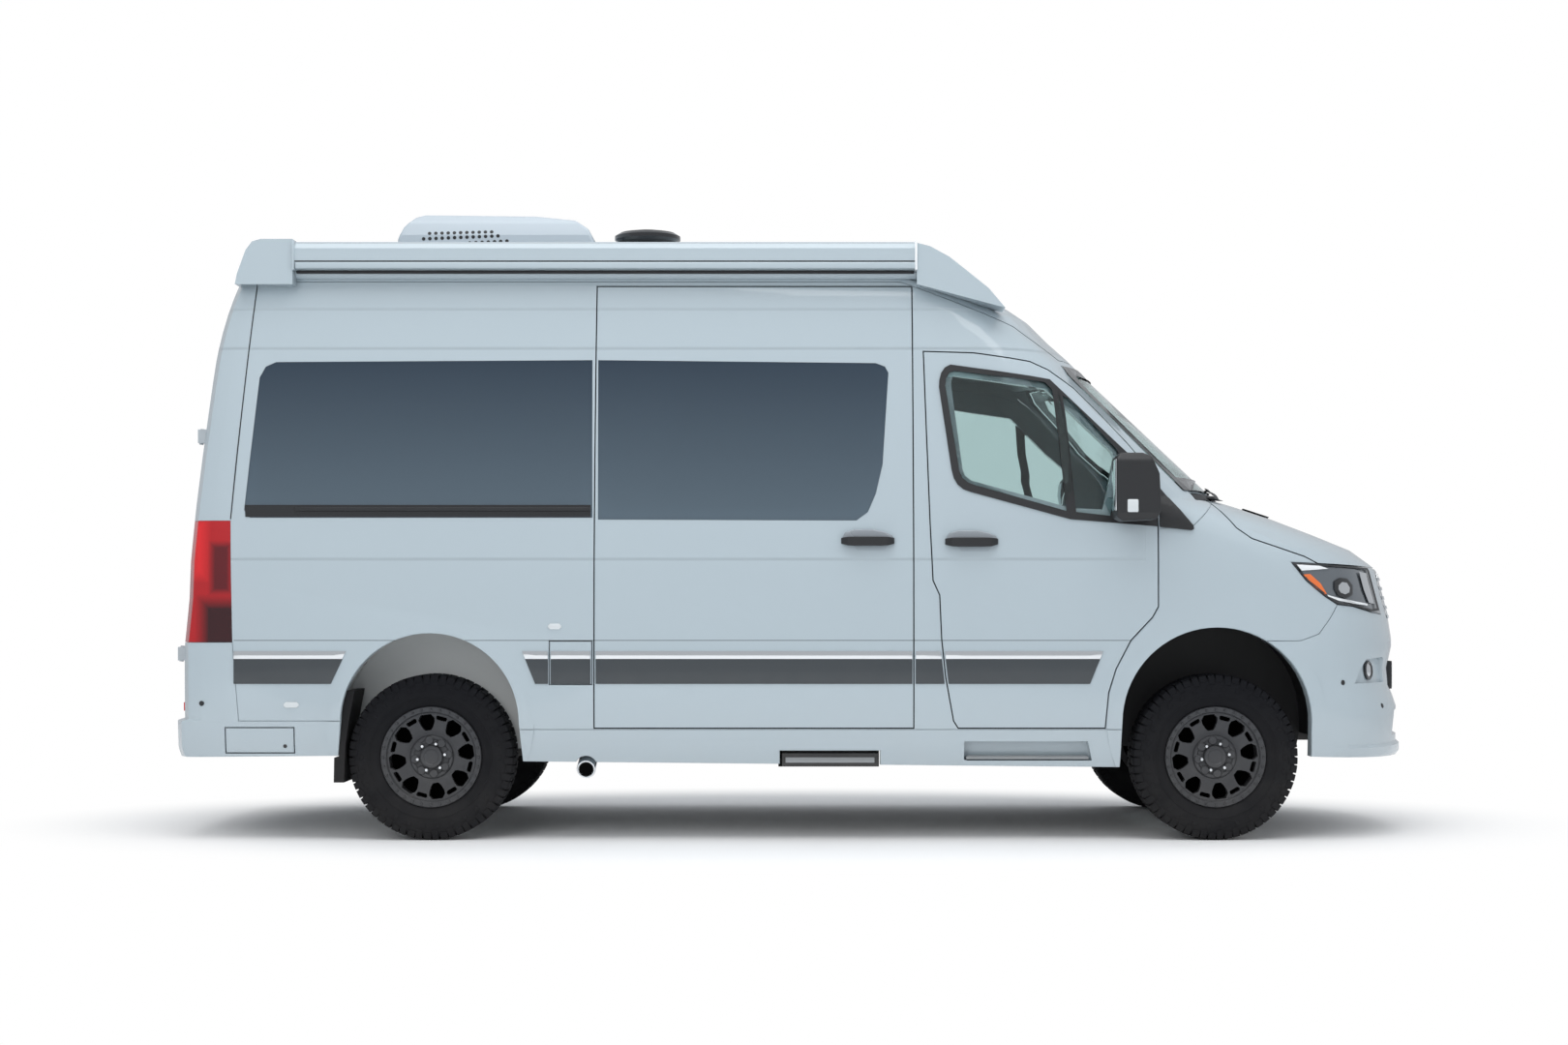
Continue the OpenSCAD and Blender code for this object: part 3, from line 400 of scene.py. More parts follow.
def edit(piece, *steps):
    select_only(piece)
    bpy.ops.object.mode_set(mode="EDIT")
    for operator, values in steps:
        bpy.ops.mesh.select_all(action="SELECT")
        operator(**values)
    bpy.ops.object.mode_set(mode="OBJECT")
    return piece


def bevel_edges(piece, width, segments, angle):
    apply_modifier(piece, "BEVEL", width=width, segments=segments, limit_method="ANGLE",
                   angle_limit=math.radians(angle))
    return piece


def copy_of(piece, name):
    select_only(piece)
    bpy.ops.object.duplicate()
    copy = bpy.context.object
    copy.name = name
    return copy


def fixed(piece, place, turn=(0, 0, 0)):
    piece.location, piece.rotation_euler = place, turn
    select_only(piece)
    bpy.ops.object.transform_apply(location=True, rotation=True, scale=True)
    return piece


def dress(piece, body, material, slot, angle=30):
    select_only(piece)
    bpy.ops.object.transform_apply(location=True, rotation=True, scale=True)
    bpy.ops.object.shade_smooth_by_angle(angle=math.radians(angle))
    piece.data.materials.clear()
    piece.data.materials.append(material)
    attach(piece, body)
    return piece


def skin(node, material, slot, angle=28):
    piece = copy_of(nodes[node], node + "_skin")
    piece.parent = None
    edit(piece, (bpy.ops.mesh.remove_doubles, {"threshold": 0.00002}),
         (bpy.ops.mesh.dissolve_limited, {"angle_limit": math.radians(0.2)}))
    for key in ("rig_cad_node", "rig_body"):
        if key in piece:
            del piece[key]
    dress(piece, nodes[node]["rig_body"], material, slot, angle)
    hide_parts(node)
    return piece


def soft_skin(node, material, slot, width, segments, angle):
    piece = bevel_edges(skin(node, material, slot), width, segments, angle)
    bpy.ops.object.shade_smooth_by_angle(angle=math.radians(40))
    skins[node] = piece
    return piece


# %% Body panels
PANELS = [n for n in nodes if n in (
    "roof", "side_left", "side_right", "wing_left", "wing_right", "bonnet", "front_bumper", "rear_bumper", "sills",
    "sliding_door", "door_front_left", "door_front_right", "door_rear_left", "door_rear_right", "utility_hatch",
    "bumper_hatch", "awning", "awning_fairings")]
skins = {n: skin(n, *PAINT) for n in sorted(PANELS)}
PANES = {"side_glass": PRIVACY, "sliding_glass": PRIVACY, "rear_glass_left": PRIVACY, "rear_glass_right": PRIVACY,
         "windscreen": CLEAR, "door_glass_left": CLEAR, "door_glass_right": CLEAR}
skins.update({n: skin(n, *look) for n, look in PANES.items()})
print("skins", len(skins))

# %% Finishes of the frame's own nodes
NODE_FINISH = {"floor": floor_sheet, "cowl": black_plastic, "grille": gloss_black, "headlamps": lens_glass,
               "tail_lamps": red_lens, "mirror_left": black_plastic, "mirror_right": black_plastic,
               "entry_step": black_plastic, "roof_cooler": shell_grey, "roof_antenna": black_plastic,
               "chassis": steel_dark, "engine": cast_metal, "driveline": steel_dark, "exhaust": chrome,
               "rear_hinges": grey_metal, "fuel_tank": black_plastic, "front_axle": steel_dark,
               "rear_axle": steel_dark, "mud_flaps": flap_rubber, "knuckle_left": steel_dark,
               "knuckle_right": steel_dark, "seats": upholstery, "dashboard": black_plastic,
               "steering_wheel": leather_black, "furniture": cabinet, "bed_cushion": upholstery}
for n in nodes:
    if n.startswith("wheel_"):
        NODE_FINISH[n] = alloy
    if n.startswith("tyre_"):
        NODE_FINISH[n] = rubber
for n, material in NODE_FINISH.items():
    if n in nodes:
        nodes[n].data.materials.clear()
        nodes[n].data.materials.append(material)
print("dressed nodes", len(NODE_FINISH))

# %% [markdown]
# Reflections betray every flat facet. So each corner of a panel takes the mean direction of the body faces around it,
# over all panels at once, and light then flows across the shut lines as it does over pressed steel. Faces that turn
# away by more than a crease angle are left out of the mean, which keeps edges and lips crisp.

# %% Let the light flow over the panels
def flow_normals(pieces, reach=0.075, crease=32, spacing=0.035):
    places, normals = [], []
    for piece in pieces:
        mesh = piece.data
        mesh.calc_loop_triangles()
        for tri in mesh.loop_triangles:
            a, b, c = (mesh.vertices[i].co for i in tri.vertices)
            for _ in range(max(1, math.ceil(tri.area / spacing ** 2))):
                u, v = random.random(), random.random()
                if u + v > 1:
                    u, v = 1 - u, 1 - v
                places.append(a + (b - a) * u + (c - a) * v)
                normals.append(tri.normal.copy())
    tree = KDTree(len(places))
    for i, place in enumerate(places):
        tree.insert(place, i)
    tree.balance()
    limit = math.cos(math.radians(crease))
    for piece in pieces:
        mesh = piece.data
        known = {}
        result = [None] * len(mesh.loops)
        for face in mesh.polygons:
            key = tuple(round(n, 2) for n in face.normal)
            for loop in face.loop_indices:
                vertex = mesh.loops[loop].vertex_index
                if (vertex, key) not in known:
                    total = face.normal * 0.5
                    for _, i, distance in tree.find_range(mesh.vertices[vertex].co, reach):
                        if normals[i].dot(face.normal) > limit:
                            total = total + normals[i] * (1.0 - distance / reach)
                    known[vertex, key] = total.normalized()
                result[loop] = known[vertex, key]
        mesh.normals_split_custom_set(result)
    return len(places)


PAINTED = [skins[n] for n in sorted(PANELS) if n not in ("awning", "awning_fairings")]
print("normal samples", flow_normals(PAINTED))
for n in PANES:
    flow_normals([skins[n]], reach=0.2)

# %% [markdown]
# Trim is drawn flat in the side view and then laid on the body, as a fitter presses a moulding on. To find the skin
# under each point, a ray is shot at the body from the side. Rays beside it bridge the narrow shut lines.

# %% Laying trim on the skin
def skin_tree(names):
    verts, faces = [], []
    for n in names:
        mesh = (skins.get(n) or nodes[n]).data
        base = len(verts)
        verts += [v.co.copy() for v in mesh.vertices]
        faces += [[base + i for i in f.vertices] for f in mesh.polygons]
    return BVHTree.FromPolygons(verts, faces)


SIDE_TREE = skin_tree([n for n in skins if n not in ("awning", "awning_fairings")] + ["headlamps", "tail_lamps"])
SIDE_START, SIDE_RUN = 1.9, 1.8  # where a ray from the side starts and how far it goes


def outermost(tree, axis, sign, across, z, gap, start, run, otherwise):
    direction = Vector((0, 0, 0))
    direction[axis] = -sign
    found = []
    for da, dz in ((0, 0), (gap, 0), (-gap, 0), (0, gap), (0, -gap)):
        place = Vector((across + da, across + da, z + dz))
        place[axis] = sign * start
        hit = tree.ray_cast(place, direction, run)[0]
        if hit:
            found.append(hit[axis] * sign)
    return max(found, default=otherwise)


def skin_reach(x, z, side):
    return outermost(SIDE_TREE, 1, side, x, z, 0.009, SIDE_START, SIDE_RUN, 0.9)


def finer(points, step=0.05):
    result = []
    for a, b in zip(points, points[1:] + points[:1]):
        count = max(1, int(math.dist(a, b) / step))
        result += [tuple(p + (q - p) * i / count for p, q in zip(a, b)) for i in range(count)]
    return result


def flat_plate(name, points, low, high):
    deselect()
    bpy.ops.mesh.primitive_circle_add(vertices=len(points), fill_type="NGON")
    piece = bpy.context.object
    piece.name = name
    for vertex, (x, z) in zip(piece.data.vertices, points):
        vertex.co = (x, -low, z)
    sweep = {"TRANSFORM_OT_translate": {"value": (0, low - high, 0)}}
    return edit(piece, (bpy.ops.mesh.extrude_region_move, sweep), OUTWARD)


def lay(piece, side):
    for vertex in piece.data.vertices:
        height = -vertex.co.y
        vertex.co.y = side * (skin_reach(vertex.co.x, vertex.co.z, side) + height)
    return edit(piece, FLIP) if side > 0 else piece


def side_trim(name, points, low, high, side, body, material, slot, bevel=0.002, step=0.05, cuts=0):
    piece = flat_plate(name, finer(points, step), low, high)
    if bevel:
        bevel_edges(piece, bevel, 2, 50)
    if cuts:
        apply_modifier(piece, "TRIANGULATE")
        edit(piece, (bpy.ops.mesh.subdivide, {"number_cuts": cuts}))
    return dress(lay(piece, side), body, material, slot, 35)


# %% [markdown]
# Doors close on to dark rubber. The body has a flange behind each door edge. Its faces are found by their depth below
# the outer skin, and they get the rubber. Its black is partly the real seal and partly painted shade, which makes the
# shut lines look as dark as shaded gaps do.

# %% Door seals and painted gap shade
seal_rubber_and_gap_shade = finish("seal_rubber_and_gap_shade", (0.016, 0.017, 0.019), rough=0.7, grain=400, bump=0.1)
sealed = 0
for n in ("side_left", "side_right", "sills", "wing_left", "wing_right"):
    mesh = skins[n].data
    mesh.materials.append(seal_rubber_and_gap_shade)
    for face in mesh.polygons:
        side = 1 if face.center.y > 0 else -1
        depth = skin_reach(face.center.x, face.center.z, side) - abs(face.center.y)
        # Painted shade: the dark rubber on these flanges also darkens the gaps as their shade would.
        if face.normal.y * side > 0.4 and 0.03 < depth < 0.09:
            face.material_index = 1
            sealed += 1
print("seal faces", sealed)

# %% [markdown]
# A polished moulding runs along the flank. Its upper edge rolls towards the sky and shines, and its flat lower part
# is dark. It is cut where panels meet, and its ends follow the wheel arches, so each length rides on its own panel.

# %% Flank moulding
STRIP_LOW, STRIP_LINE, STRIP_HIGH = 0.731, 0.846, 0.884
SIDES = ((-1, "right"), (1, "left"))
STRIPS = {  # length: (rear edge low, rear edge high, front edge low, front edge high, body)
    "right": [("rear", -2.640, -2.640, -2.188, -2.116, "van"), ("arch", -1.238, -1.300, -1.178, -1.178, "van"),
              ("hatch", -1.166, -1.166, -0.981, -0.981, "utility_hatch_body"),
              ("slider", -0.957, -0.957, 0.516, 0.516, "van"), ("pillar", 0.531, 0.531, 0.666, 0.649, "van"),
              ("door", 0.684, 0.666, 1.342, 1.404, "door_front_right_body")],
    "left": [("rear", -2.640, -2.640, -2.188, -2.116, "van"), ("flank", -1.238, -1.300, 0.666, 0.649, "van"),
             ("door", 0.684, 0.666, 1.342, 1.404, "door_front_left_body")],
}


def between(low, high, z):
    return low + (high - low) * (z - STRIP_LOW) / (STRIP_HIGH - STRIP_LOW)


for side, label in SIDES:
    for part, rl, rh, fl, fh, body in STRIPS[label]:
        lower = [(rl, STRIP_LOW), (fl, STRIP_LOW), (between(fl, fh, STRIP_LINE), STRIP_LINE),
                 (between(rl, rh, STRIP_LINE), STRIP_LINE)]
        upper = [(between(rl, rh, STRIP_LINE), STRIP_LINE), (between(fl, fh, STRIP_LINE), STRIP_LINE),
                 (fh, STRIP_HIGH), (rh, STRIP_HIGH)]
        side_trim(f"strip_{part}_{label}", lower, -0.002, 0.005, side, body, strip_dark, "black_plastic")
        side_trim(f"strip_edge_{part}_{label}", upper, -0.002, 0.007, side, body, *CHROME, 0.003)
print("strip lengths", sum(len(v) for v in STRIPS.values()))

# %% [markdown]
# Each front window sits in a black frame with a bar before the small fixed quarter light. Forward of it, a black sail
# covers the foot of the mirror and runs across the shut line on to the wing. The frame is a plate with two holes.

# %% Front window frames
FRAME_OUT = [(0.644, 2.118), (0.646, 2.152), (0.655, 2.186), (0.672, 2.211), (0.698, 2.225), (1.168, 2.160),
             (1.498, 1.845), (1.640, 1.712), (1.656, 1.690), (1.656, 1.464), (1.252, 1.497), (0.788, 1.625),
             (0.755, 1.637), (0.728, 1.659), (0.711, 1.688), (0.700, 1.730)]
MAIN_LIGHT = [(0.673, 2.125), (0.678, 2.160), (0.692, 2.186), (0.716, 2.195), (1.142, 2.145), (1.177, 2.109),
              (1.234, 1.536), (0.808, 1.657), (0.776, 1.669), (0.752, 1.690), (0.737, 1.720)]
QUARTER_LIGHT = [(1.227, 2.081), (1.263, 2.063), (1.476, 1.830), (1.498, 1.776), (1.437, 1.513), (1.279, 1.531)]
SAIL = [(1.667, 1.664), (1.824, 1.468), (1.826, 1.452), (1.815, 1.446), (1.667, 1.461)]


def cut_hole(piece, points, low, high):
    cutter = flat_plate("cutter", finer(points), low, high)
    apply_modifier(piece, "BOOLEAN", object=cutter, operation="DIFFERENCE", solver="EXACT")
    bpy.data.objects.remove(cutter)


for side, label in SIDES:
    body = f"door_front_{label}_body"
    piece = flat_plate(f"window_frame_{label}", finer(FRAME_OUT), -0.002, 0.005)
    for light in (MAIN_LIGHT, QUARTER_LIGHT):
        cut_hole(piece, light, -0.02, 0.02)
    dress(lay(piece, side), body, *BLACK, 35)
    side_trim(f"sail_{label}", SAIL, 0.002, 0.012, side, "van", *BLACK, 0.002, 0.02, 3)

# %% [markdown]
# The door handles are long black grips that stand off the skin at both ends, over a shallow dish. The dish is a flat
# plate in a darker body colour, which paints the shade of its hollow. A silver shell arches over each grip: it is a
# painted reflection of the dish's curved top. The grip starts as a bar with cuts, its ends are bent inwards, and a
# bevel rounds it.

# %% Door handles
def bar(name, low, high, cuts=0):
    deselect()
    bpy.ops.mesh.primitive_cube_add(size=1.0, location=[(a + b) / 2 for a, b in zip(low, high)])
    piece = bpy.context.object
    piece.name = name
    piece.scale = [b - a for a, b in zip(low, high)]
    bpy.ops.object.transform_apply(location=True, rotation=True, scale=True)
    return edit(piece, (bpy.ops.mesh.subdivide, {"number_cuts": cuts})) if cuts else piece


def rounded(piece, width, segments=3):
    return bevel_edges(piece, width, segments, 30)


def dressed_bar(name, low, high, width, segments, body, material, slot):
    return dress(rounded(bar(name, low, high), width, segments), body, material, slot)


def handle(name, x0, x1, z, side, body):
    dish = flat_plate(name + "_dish", finer([(x0 + 0.075, z - 0.050), (x1 - 0.045, z - 0.050), (x1 - 0.02, z - 0.016),
                                             (x1 - 0.045, z), (x0 + 0.075, z), (x0 + 0.05, z - 0.016)], 0.02),
                      -0.003, 0.0012)
    dress(lay(dish, side), body, dish_painted_shade, "body_paint", 60)
    # Painted reflection: the silver shell stands for the light that the dish's curved top would reflect.
    shell = [(x0 + 0.003, z + 0.004), (x1 - 0.002, z + 0.004), (x1 - 0.010, z + 0.020), (x1 - 0.045, z + 0.036),
             (x0 + 0.150, z + 0.047), (x0 + 0.060, z + 0.047), (x0 + 0.018, z + 0.034)]
    side_trim(name + "_shell", shell, -0.002, 0.018, side, body, shell_painted_reflection, "bright_steel", 0.005, 0.03, 1)
    piece = bar(name, (x0, -0.042, z - 0.029), (x1, -0.014, z + 0.013), 7)
    span = (x1 - x0) / 2
    for v in piece.data.vertices:
        away = abs(v.co.x - (x0 + x1) / 2) / span
        v.co.y += 0.028 * max(0.0, away - 0.72) / 0.28
        v.co.z += (v.co.z - z) * -0.35 * max(0.0, away - 0.7) / 0.3
    return dress(lay(rounded(piece, 0.006), side), body, *BLACK, 40)


# Painted shade and reflection: the dish is darker than the body paint for the shade of its hollow, and the shell's
# silver is a painted reflection.
dish_painted_shade = finish("handle_dish_painted_shade", (0.36, 0.425, 0.47), rough=0.35, grain=900, bump=0.01, coat=0.8)
shell_painted_reflection = finish("handle_shell_painted_reflection", (0.31, 0.34, 0.37), rough=0.28, metal=0.4, grain=500, bump=0.01)
handle("handle_sliding", 0.185, 0.432, 1.402, -1, "van")
for side, label in SIDES:
    handle(f"handle_front_{label}", 0.668, 0.914, 1.398, side, f"door_front_{label}_body")
print("handles 3")

# %% [markdown]
# A seam runs down the rear pillar beside the window. It is too narrow to show by itself, so a thin dark strip follows
# it as painted shade of the seam's groove.

# %% Rear pillar seam
SEAM = [(-2.564, 2.616), (-2.589, 2.320), (-2.614, 2.026), (-2.636, 1.760), (-2.657, 1.497)]
for side, label in SIDES:
    # Painted shade: a dark strip stands for the shaded groove of the seam.
    edge = [(x - 0.0025, z) for x, z in SEAM] + [(x + 0.0025, z) for x, z in reversed(SEAM)]
    side_trim(f"pillar_seam_{label}", edge, -0.002, 0.001, side, "van", seal_rubber_and_gap_shade, "black_plastic", 0, 0.04)

# %% [markdown]
# The wheels are dark cast alloys: a ring of small bolts outside, eight broad spokes with six-sided windows between
# them, and an oval slot at the foot of each spoke. A wheel is turned from its section with a spin about the axle, and
# the windows are cut with one set of cutters. It is made once, face up, and then copied to the four corners.

# %% Turned pieces
def turned(name, section, steps=64):
    deselect()
    bpy.ops.mesh.primitive_circle_add(vertices=len(section), fill_type="NOTHING")
    piece = bpy.context.object
    piece.name = name
    for vertex, (radius, height) in zip(piece.data.vertices, section):
        vertex.co = (radius, 0, height)
    turn = {"steps": steps, "angle": 2 * math.pi, "center": (0, 0, 0), "axis": (0, 0, 1)}
    return edit(piece, (bpy.ops.mesh.spin, turn), (bpy.ops.mesh.remove_doubles, {"threshold": 0.00002}), OUTWARD)


def prism(name, points, low, high):
    piece = flat_plate(name, points, 0, high - low)
    for vertex in piece.data.vertices:
        x, y, z = vertex.co
        vertex.co = (x, z, low - y)
    return edit(piece, OUTWARD)


def join(pieces, name):
    deselect()
    for piece in pieces:
        piece.select_set(True)
    bpy.context.view_layer.objects.active = pieces[0]
    bpy.ops.object.join()
    bpy.context.object.name = name
    return bpy.context.object


def ring_of(piece, count, start=0.0):
    copies = [copy_of(piece, piece.name) for _ in range(count)]
    for i, copy in enumerate(copies):
        copy.rotation_euler = (0, 0, start + i * 2 * math.pi / count)
    bpy.data.objects.remove(piece)
    ring = join(copies, "ring")
    bpy.ops.object.transform_apply(location=True, rotation=True, scale=True)
    return ring


# %% One wheel, face up
WINDOW = [(0.124, -0.013), (0.136, -0.023), (0.160, -0.035), (0.178, -0.038), (0.199, -0.024), (0.199, 0.024),
          (0.178, 0.038), (0.160, 0.035), (0.136, 0.023), (0.124, 0.013)]
SLOT = [(0.174, -0.018), (0.178, -0.024), (0.190, -0.026), (0.194, -0.020), (0.194, 0.020), (0.190, 0.026),
        (0.178, 0.024), (0.174, 0.018)]
barrel = turned("barrel", [(0.205, -0.102), (0.236, -0.102), (0.236, -0.093), (0.219, -0.085), (0.217, 0.040),
                           (0.212, 0.062), (0.206, 0.050), (0.205, 0.000)])
face = turned("face", [(0.030, 0.040), (0.095, 0.040), (0.120, 0.030), (0.212, 0.036), (0.214, 0.086), (0.206, 0.088),
                       (0.186, 0.082), (0.160, 0.072), (0.120, 0.068), (0.104, 0.070), (0.098, 0.082), (0.086, 0.086),
                       (0.080, 0.080), (0.030, 0.080)])
cutters = join([ring_of(prism("window", WINDOW, 0.0, 0.15), 8, math.radians(8)),
                ring_of(prism("slot", SLOT, 0.0, 0.15), 8, math.radians(30.5))], "cutters")
apply_modifier(face, "BOOLEAN", object=cutters, operation="DIFFERENCE", solver="EXACT")
bpy.data.objects.remove(cutters)
bevel_edges(face, 0.0028, 2, 40)
ring = turned("ring", [(0.2075, 0.084), (0.236, 0.092), (0.2365, 0.102), (0.233, 0.1065), (0.212, 0.1025),
                       (0.2075, 0.097)])
bolt = turned("bolt", [(0.0, 0.098), (0.0062, 0.098), (0.0062, 0.108), (0.0045, 0.1105), (0.0, 0.1105)], 6)
fixed(bolt, (0.2225, 0, 0))
scallop = turned("scallop", [(0.0, 0.07), (0.021, 0.07), (0.021, 0.087), (0.017, 0.0915), (0.0, 0.0915)], 24)
fixed(scallop, (0.078, 0, 0))
cap = turned("cap", [(0.0, 0.078), (0.052, 0.078), (0.052, 0.094), (0.049, 0.0975), (0.036, 0.099), (0.033, 0.0965),
                     (0.0, 0.0965)], 48)
wheel = join([face, barrel, ring, ring_of(bolt, 32), ring_of(scallop, 8, math.radians(8)), cap], "wheel")
nut = turned("nut", [(0.0, 0.086), (0.0098, 0.086), (0.0098, 0.100), (0.0065, 0.104), (0.0, 0.104)], 6)
fixed(nut, (0.065, 0, 0))
nuts = ring_of(nut, 6, math.radians(10))
# Painted shade: a black disc behind the windows stands for the dark space behind the spokes.
shade = turned("shade", [(0.075, -0.024), (0.200, -0.022), (0.203, -0.018), (0.200, -0.014), (0.075, -0.016)], 48)
print("wheel faces", len(wheel.data.polygons))

# %% [markdown]
# The all-terrain tyre is a turned carcass with separate blocks. One pitch of the tread holds two shoulder blocks, which
# wrap over on to the sidewall, and three blocks in the middle. The pitch is copied round the tyre. A shallow rib and
# small sidewall bars finish the flank.

# %% One tyre, face up
TYRE_R, BLOCK_FOOT, PITCHES = 0.387, 0.368, 30
carcass = turned("carcass", [
    (0.2195, -0.083), (0.2195, 0.083), (0.2365, 0.0925), (0.2385, 0.0990), (0.247, 0.1050), (0.262, 0.1120),
    (0.281, 0.1185), (0.2835, 0.1210), (0.2865, 0.1210), (0.289, 0.1190), (0.305, 0.1195), (0.325, 0.1185),
    (0.345, 0.1140), (0.362, 0.1040), (0.371, 0.0930), (0.3755, 0.0700), (0.3765, 0.0), (0.3755, -0.0700),
    (0.371, -0.0930), (0.362, -0.1040), (0.345, -0.1140), (0.325, -0.1185), (0.300, -0.1205), (0.262, -0.1120),
    (0.2365, -0.0925)], 96)


def block(x, y, z, turn=0.0, bevel=0.0022):
    piece = bar("block", (x[0], y[0], z[0]), (x[1], y[1], z[1]))
    rounded(piece, bevel, 1)
    swing = {"value": turn, "orient_axis": "X", "center_override": (0, sum(y) / 2, sum(z) / 2)}
    return edit(piece, (bpy.ops.transform.rotate, swing)) if turn else piece


def shoulder(y0, y1, sign, foot):
    piece = flat_plate("shoulder", [(0.366, 0.048), (TYRE_R, 0.046), (TYRE_R - 0.0005, 0.088), (0.380, 0.1000),
                                    (foot, 0.1185 if foot < 0.35 else 0.1120), (foot, 0.098), (0.362, 0.080)],
                       -y1, -y0)
    bevel_edges(piece, 0.002, 1, 40)
    under = {"value": (1, 1, -1), "center_override": (0, 0, 0)}
    return edit(piece, (bpy.ops.transform.resize, under), FLIP) if sign < 0 else piece


pitch_blocks = [
    shoulder(-0.034, -0.003, 1, 0.340), shoulder(0.004, 0.040, 1, 0.352),
    shoulder(-0.020, 0.010, -1, 0.340), shoulder(0.017, 0.054, -1, 0.352),
    block((BLOCK_FOOT, TYRE_R), (-0.036, -0.004), (0.012, 0.041), 0.25),
    block((BLOCK_FOOT, TYRE_R), (0.003, 0.033), (0.008, 0.038), -0.2),
    block((BLOCK_FOOT, TYRE_R), (-0.022, 0.010), (-0.022, 0.004), 0.3),
    block((BLOCK_FOOT, TYRE_R), (-0.034, -0.003), (-0.041, -0.012), -0.25),
    block((BLOCK_FOOT, TYRE_R), (0.006, 0.036), (-0.040, -0.008), 0.2),
    block((0.312, 0.331), (-0.010, 0.010), (0.114, 0.1215), 0.0, 0.001),
]
pitch = join(pitch_blocks, "pitch")
for v in pitch.data.vertices:
    away = math.hypot(v.co.x, v.co.y)
    if away > TYRE_R:
        v.co.x, v.co.y = v.co.x * TYRE_R / away, v.co.y * TYRE_R / away
tread = ring_of(pitch, PITCHES)
tyre = join([carcass, tread], "tyre")
print("tyre faces", len(tyre.data.polygons))

# %% [markdown]
# A wheel and its tyre go to each corner. The axle points sideways, so the face is turned outwards by a quarter turn,
# and the hidden originals are removed at the end.

# %% Four corners
for axle in ("front", "rear"):
    for side, label in SIDES:
        corner = f"{axle}_{label}"
        low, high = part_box("tyre_" + corner)
        centre = (low + high) / 2
        for source, kind, material, slot in ((wheel, "wheel", alloy, "wheel_alloy"), (tyre, "tyre", rubber, "tyre"),
                                             (nuts, "nuts", *CHROME),
                                             (shade, "shade", *SHADE)):
            piece = copy_of(source, f"{kind}_{corner}_dressed")
            piece.rotation_euler = (-side * math.pi / 2, 0, 0)
            piece.location = centre
            dress(piece, f"wheel_{corner}_body", material, slot, 32)
            if kind in ("wheel", "tyre"):
                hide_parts(f"{kind}_{corner}")
for source in (wheel, tyre, nuts, shade):
    bpy.data.objects.remove(source)
print("corners 4")

# %% [markdown]
# The headlamps show a dark housing, bright reflectors, an amber turn lamp in the rear corner and a light line along the
# foot, all under one clear lens. The solid from the frame is the housing. Thin plates laid on it make the bright and
# coloured parts, a black rim closes the edge, and every finish here has a clear coat, which gives the lens its shine.

# %% Headlamps
lamp_housing = finish("lamp_housing", (0.16, 0.18, 0.20), rough=0.2, metal=0.6, grain=60, bump=0.1, coat=1.0)
reflector = finish("lamp_reflector", (0.72, 0.74, 0.76), rough=0.12, metal=1.0, grain=120, bump=0.15, coat=0.6)
lamp_light = finish("lamp_light", (0.80, 0.83, 0.85), rough=0.15, grain=160, bump=0.1, coat=1.0)
amber = finish("amber_lens", (0.75, 0.16, 0.03), rough=0.15, grain=160, bump=0.2, coat=0.6)
skins["headlamps"] = skin("headlamps", lamp_housing, "lamp_clear")
flow_normals([skins["headlamps"]])
LAMP_PLATES = {  # plate: (outline in the side view, height, finish)
    "turn": ([(2.338, 1.240), (2.372, 1.243), (2.424, 1.199), (2.455, 1.150), (2.444, 1.147), (2.400, 1.176),
              (2.358, 1.214)], 0.004, amber),
    "brow": ([(2.306, 1.287), (2.425, 1.281), (2.470, 1.268), (2.400, 1.262), (2.330, 1.258)], 0.004, lamp_light),
    "eye": ([(2.500, 1.210), (2.530, 1.226), (2.575, 1.222), (2.604, 1.190), (2.600, 1.146), (2.560, 1.128),
             (2.515, 1.142), (2.497, 1.175)], 0.003, gloss_black),
    "core": ([(2.520, 1.190), (2.540, 1.206), (2.568, 1.202), (2.584, 1.180), (2.580, 1.158), (2.555, 1.148),
              (2.530, 1.156), (2.518, 1.172)], 0.007, reflector),
    "foot": ([(2.456, 1.146), (2.520, 1.130), (2.620, 1.114), (2.690, 1.104), (2.690, 1.094), (2.610, 1.103),
              (2.516, 1.118), (2.462, 1.138)], 0.004, lamp_light),
    "cheek": ([(2.650, 1.256), (2.700, 1.250), (2.738, 1.104), (2.700, 1.108), (2.672, 1.170)], 0.004, reflector),
}
LAMP_RIM = [(2.286, 1.294), (2.417, 1.288), (2.580, 1.282), (2.722, 1.274), (2.772, 1.072), (2.715, 1.068),
            (2.600, 1.094), (2.514, 1.103), (2.452, 1.137), (2.353, 1.215)]
LAMP_HOLE = [(2.304, 1.287), (2.417, 1.281), (2.580, 1.275), (2.711, 1.267), (2.756, 1.082), (2.717, 1.077),
             (2.602, 1.102), (2.518, 1.111), (2.458, 1.144), (2.362, 1.216)]
for side, label in SIDES:
    for part, (outline, height, material) in LAMP_PLATES.items():
        side_trim(f"lamp_{part}_{label}", outline, -0.001, height, side, "van", material, "lamp_clear", 0.001, 0.012)
    rim = flat_plate(f"lamp_rim_{label}", finer(LAMP_RIM, 0.02), -0.001, 0.003)
    cut_hole(rim, LAMP_HOLE, -0.02, 0.02)
    dress(lay(rim, side), "van", *GLOSS, 35)

# %% [markdown]
# The front is laid out like the side, but drawn in the front view and pressed on from ahead. Bars cross the grille,
# a blank plate sits on the bumper, and the windscreen gets the black border that hides its glue.

# %% Laying trim on the front
FRONT_TREE = skin_tree([n for n in skins if n not in ("awning", "awning_fairings")] + ["grille", "cowl"])


def end_reach(y, z, end):
    return outermost(FRONT_TREE, 0, end, y, z, 0.008, 3.6, 3.2, 2.8)


